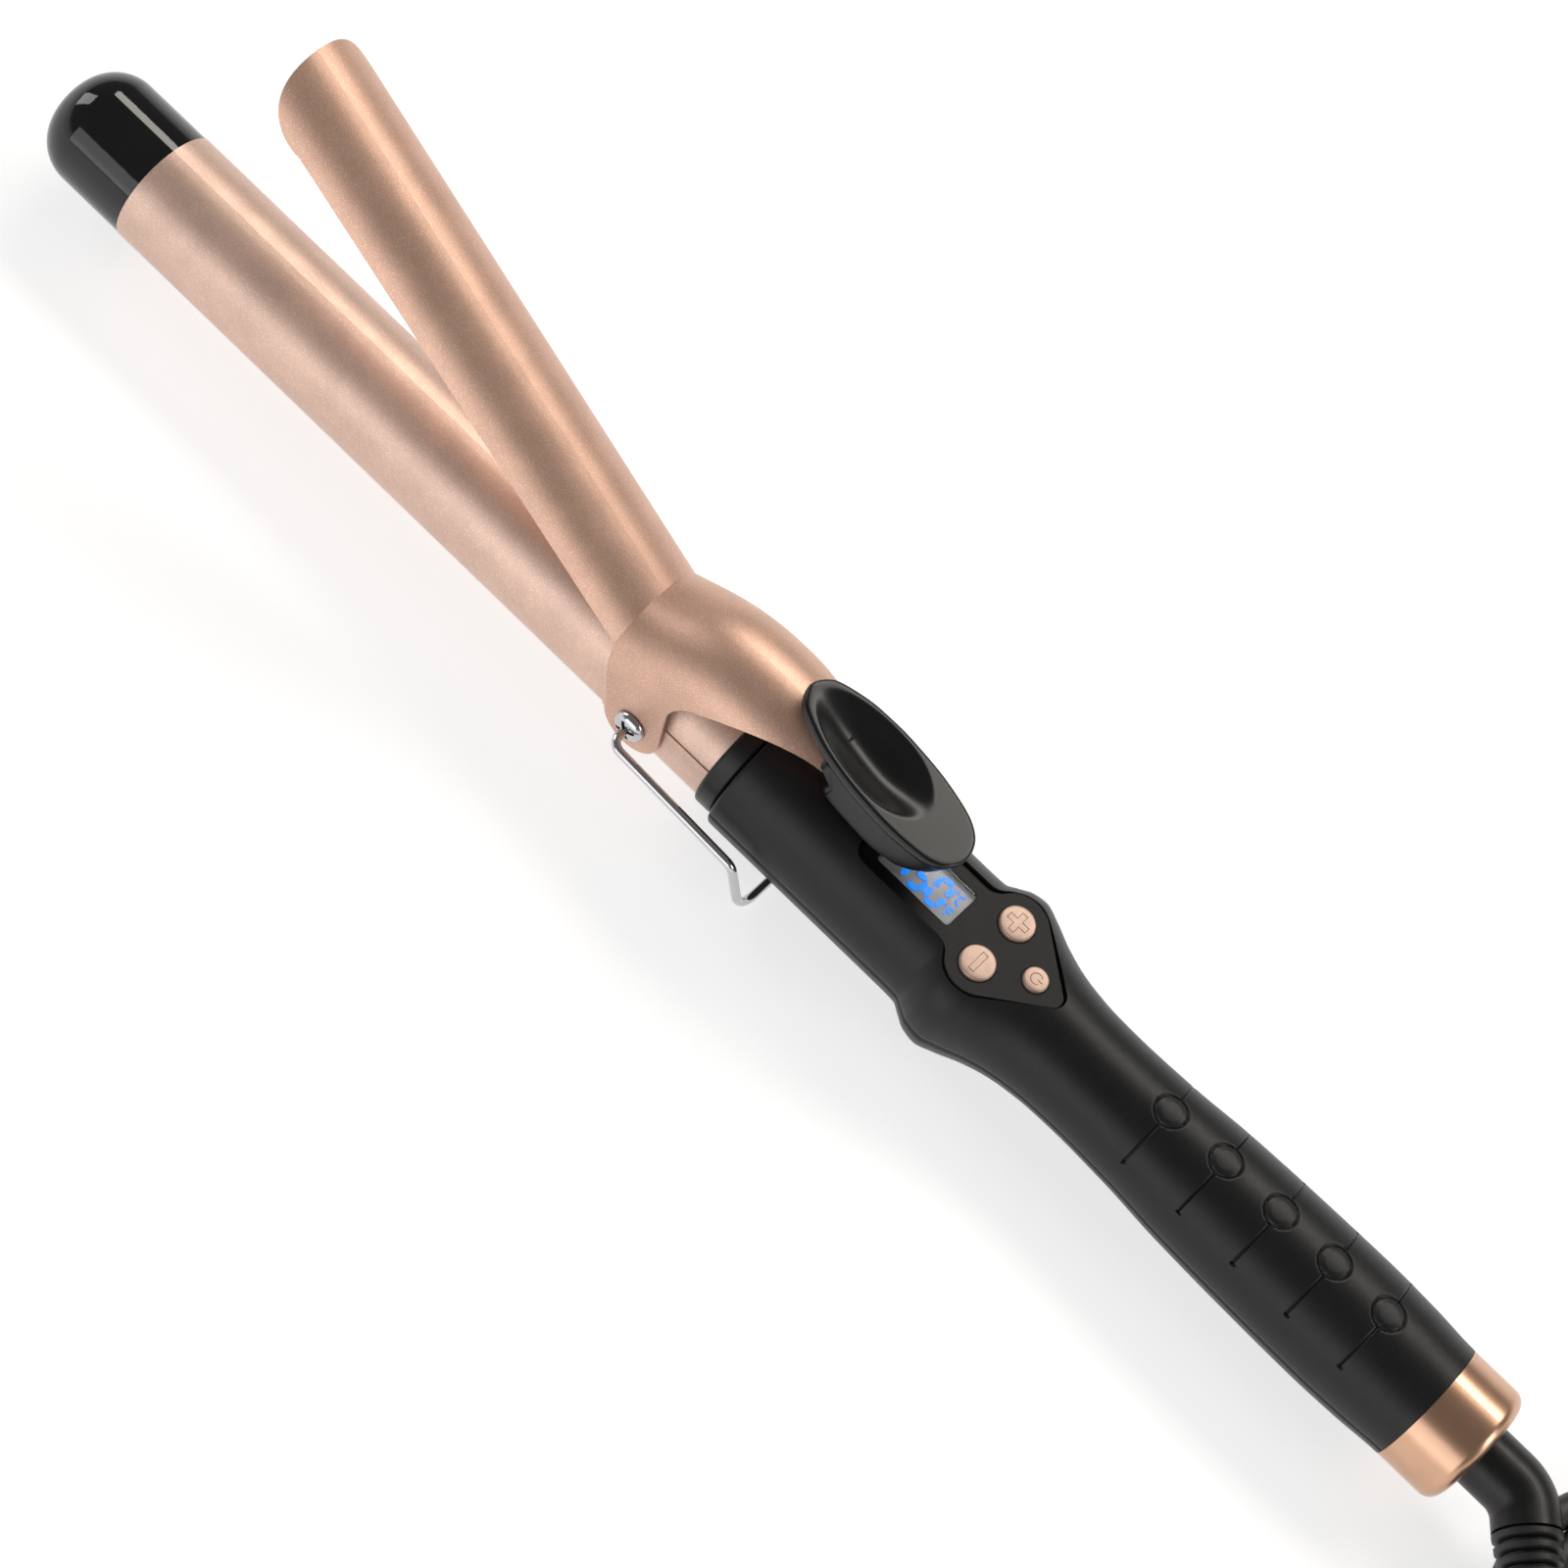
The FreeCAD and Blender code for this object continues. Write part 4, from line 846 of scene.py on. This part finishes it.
def make_pad():
    """The thumb pad: a rounded rim round a smooth hollow, sides that lean in a little."""
    sides = PAD_SIDE + [(x, -y) for x, y in reversed(PAD_SIDE[1:-1])]
    edge = smooth_loop(sides, 160)
    rings = []
    middle = np.array([PAD_MIDDLE_X, 0.0])
    rings.append([on_clip(x, y, -4.6) for x, y in middle + (edge - middle) * 0.5])
    for drop, inset in ((-2.5, 1.5), (-2.48, 0.45), (-2.3, 0.2), (-1.9, 0.1), (-0.9, 0.0),
                        (-0.45, 0.05), (-0.16, 0.22), (-0.03, 0.5)):
        rings.append([on_clip(x, y, drop) for x, y in inward(edge, inset)])
    brim = inward(edge, 0.8)
    for k in range(DISH_RINGS + 1):
        share = max(0.003, 1 - k / DISH_RINGS)
        spots = middle + (brim - middle) * share
        ring = []
        for x, y in spots:
            reach = 15.0 - 3.0 * math.tanh((x - PAD_MIDDLE_X) / 5.0)
            far = math.hypot((x - PAD_MIDDLE_X) / reach, y / DISH_HALF)
            dish = max(0, 1 - far * far) ** 1.35
            ring.append(on_clip(x, y, -DISH_DEPTH * dish))
        rings.append(ring)
    verts, faces = closed_rings(rings)
    piece("thumb_rest", verts, faces, PAD_BLACK, "clip", ["thumb_pad"])


def make_base():
    """The block under the pad, rounded at the rear and underneath."""
    sides = [(12.4, 0.0), (12.4, 4.0), (12.5, 7.5), (15.0, 7.95), (20.0, 8.4), (28.0, 8.3),
             (34.0, 7.6), (38.4, 6.4), (41.0, 4.6), (42.4, 2.4), (42.9, 0.0)]
    edge = smooth_loop(sides + [(x, -y) for x, y in reversed(sides[1:-1])], 180)
    levels = ((-5.4, 4.0, 0.0), (-2.3, 0.1, 0.0), (-5.0, 0.1, 0.2), (-7.0, 0.1, 0.8),
              (-8.6, 0.12, 2.0), (-9.7, 0.16, 3.4), (-10.2, 0.3, 4.4), (-10.5, 0.6, 5.4),
              (-10.65, 1.2, 6.4))
    rear_x, rear_run = 30.0, 12.9
    front_x, front_run, front_cut = 17.5, 4.0, 3.6
    rings = []
    for drop, inset, rear in levels:
        ring = []
        for x, y in inward(edge, inset):
            back = max(0.0, (x - rear_x) / rear_run)
            lean = max(0.0, min(1.0, (front_x - x) / front_run))
            front = 0.0 if drop > -5.5 else lean * front_cut
            ring.append(on_clip(x - rear * back * back + front, y * (1 - 0.02 * rear * back), drop))
        rings.append(ring)
    verts, faces = closed_rings(rings)
    piece("thumb_block", verts, faces, BLACK, "clip", ["thumb_base"], sharp_deg=60)


def make_rest_screw(name, along):
    """A small countersunk screw under the thumb rest's block."""
    profile = [(-10.78, 0.4), (-10.78, 0.9), (-10.9, 0.95), (-10.9, 1.9), (-10.6, 2.15),
               (-9.2, 1.1), (-6.2, 1.0), (-5.6, 0.3)]
    verts, faces = lathe((0, 0, 0), (0, 0, 1), profile, 40)
    shift = Matrix.Translation(-place(0, 0, 0))
    local = [(shift @ v) / MM for v in verts]
    piece("rest_screw_" + name, [on_clip(v.x + along, v.y, v.z) for v in local], faces, STEEL,
          "clip", ["thumb_screw_" + name], sharp_deg=35)


make_pad()
make_base()
make_rest_screw("front", 22.0)
make_rest_screw("rear", 28.0)


# ---- hinge screws ------------------------------------------------------------------------

HINGE_X = -28.2


def make_screw(name, side):
    """A domed screw with a cross cut in its head; the stand's wire passes through it."""
    profile = [(10.2, 1.1), (10.2, 2.4), (14.05, 2.4), (14.1, 3.3), (14.3, 3.45), (14.75, 3.4),
               (15.3, 3.05), (15.75, 2.4), (15.98, 1.6), (16.0, 1.0)]
    verts, faces = lathe((HINGE_X, 0, 0), (0, side, 0), profile, 56)
    made = piece("pivot_" + name, verts, faces, CHROME, "iron", ["hinge_screw_" + name],
                 sharp_deg=35)
    cutters = []
    for k, turn in enumerate((30, 120)):
        c, s = math.cos(math.radians(turn)), math.sin(math.radians(turn))
        outline = [(2.35, 0.42), (-2.35, 0.42), (-2.35, -0.42), (2.35, -0.42)]
        ring = [[place(HINGE_X + a * c - b * s, side * y, a * s + b * c) for a, b in outline]
                for y in (15.0, 17.5)]
        cutters.append(loose(f"slot_{name}_{k}", *closed_rings(ring)))
    carve(made, cutters)
    made.data.set_sharp_from_angle(angle=math.radians(35))


make_screw("near", -1)
make_screw("far", 1)


# ---- clip spring -------------------------------------------------------------------------

# x and z of the leaf's control points, from its weld under the neck to its free end
LEAF = ((-9.0, 26.9), (-24.5, 25.0), (-30.5, 18.5), (-24.0, 13.9), (-14.0, 14.7))
LEAF_HALF, LEAF_THICK = 4.0, 0.5


def make_leaf():
    """The clip's leaf spring, bent back under the neck; its free end clears the barrel."""
    points = [Vector((x, 0, z)) for x, z in LEAF]
    turns = [points[0]] + [(a + b) / 2 for a, b in zip(points[1:-2], points[2:-1])] + [points[-1]]
    rings = []
    for start, corner, end in zip(turns, points[1:-1], turns[1:]):
        for step in range(13):
            t = step / 12
            if rings and step == 0:
                continue
            spot = start * (1 - t) ** 2 + corner * 2 * t * (1 - t) + end * t * t
            along = ((corner - start) * (1 - t) + (end - corner) * t).normalized()
            under = Vector((along.z, 0, -along.x)) * LEAF_THICK
            rings.append([place(edge.x, y, edge.z) for edge, y in
                          ((spot, -LEAF_HALF), (spot, LEAF_HALF), (spot + under, LEAF_HALF),
                           (spot + under, -LEAF_HALF))])
    verts, faces = closed_rings(rings)
    piece("clip_leaf", verts, faces, STEEL, "clip", ["clip_spring"], sharp_deg=40)


make_leaf()


# ---- stand -------------------------------------------------------------------------------

def make_stand():
    """The bent wire: an end in each hinge screw, two arms and a crossbar under the handle."""
    corners = [((HINGE_X, -11.0, 0.0), 0), ((HINGE_X, -19.8, 0.0), 2.6), ((4.6, -19.8, -2.1), 2.4),
               ((9.8, -17.6, -16.6), 5.4)]
    route = corners + [((x, -y, z), bend) for (x, y, z), bend in reversed(corners)]
    spots = []
    for k, (corner, bend) in enumerate(route):
        corner = Vector(corner)
        if not bend:
            spots.append(corner)
            continue
        before = (corner - Vector(route[k - 1][0])).normalized()
        after = (Vector(route[k + 1][0]) - corner).normalized()
        half = before.angle(after) / 2
        centre = corner + (after - before).normalized() * bend / math.cos(half)
        start = corner - before * bend * math.tan(half)
        arm = start - centre
        swing = before.cross(after).normalized()
        for step in range(13):
            spots.append(centre + Matrix.Rotation(2 * half * step / 12, 3, swing) @ arm)
    wire("stand_wire", [(spots, False)], 0.95, 7, CHROME, "stand", ["wire_stand"],
         caps=True)


make_stand()


# ---- light and floor ---------------------------------------------------------------------

def softbox(name, where, target, width, height, power, color):
    """A rectangular area light that looks at a point."""
    data = bpy.data.lights.new(name, "AREA")
    data.shape = "RECTANGLE"
    data.size = width
    data.size_y = height
    data.energy = power
    data.color = color
    lamp = add(name, data)
    lamp.location = where
    lamp.rotation_euler = (Vector(target) - Vector(where)).to_track_quat("-Z", "Y").to_euler()


MIDDLE = (0.0, 0.0, 0.02)
WARM = (1.0, 0.95, 0.88)
WHITE = (0.96, 0.98, 1.0)
softbox("far_strip", (0.0, 0.64, 0.86), MIDDLE, 1.3, 0.26, 7.5, WARM)
softbox("near_strip", (0.0, -0.95, 0.33), MIDDLE, 1.3, 0.55, 3.7, WHITE)
softbox("tip_box", (-0.95, 0.0, 0.45), MIDDLE, 0.3, 0.5, 2.0, WHITE)
softbox("end_box", (0.95, 0.1, 0.45), MIDDLE, 0.3, 0.5, 2.0, WHITE)

bpy.context.scene.view_settings.view_transform = "Standard"


def make_world():
    """A studio dome: pale near the horizon, dim and warm overhead."""
    world = bpy.data.worlds.new("studio")
    world.use_nodes = True
    tree = world.node_tree
    way = tree.nodes.new("ShaderNodeTexCoord")
    parts = tree.nodes.new("ShaderNodeSeparateXYZ")
    ramp = tree.nodes.new("ShaderNodeValToRGB")
    pale_below, dim_above = 0.10, 0.26
    ramp.color_ramp.elements[0].position = pale_below
    ramp.color_ramp.elements[0].color = (0.88, 0.88, 0.88, 1)
    ramp.color_ramp.elements[1].position = dim_above
    ramp.color_ramp.elements[1].color = (0.17, 0.163, 0.158, 1)
    tree.links.new(way.outputs["Generated"], parts.inputs["Vector"])
    tree.links.new(parts.outputs["Z"], ramp.inputs["Fac"])
    tree.links.new(ramp.outputs["Color"], tree.nodes["Background"].inputs["Color"])
    bpy.context.scene.world = world


make_world()


def make_floor():
    """A wide plain floor."""
    mesh = bpy.data.meshes.new("floor")
    half = 30.0
    mesh.from_pydata([(-half, -half, 0), (half, -half, 0), (half, half, 0), (-half, half, 0)], [],
                     [(0, 1, 2, 3)])
    mesh.materials.append(FLOOR)
    made = add("floor", mesh)


make_floor()

bpy.context.view_layer.update()
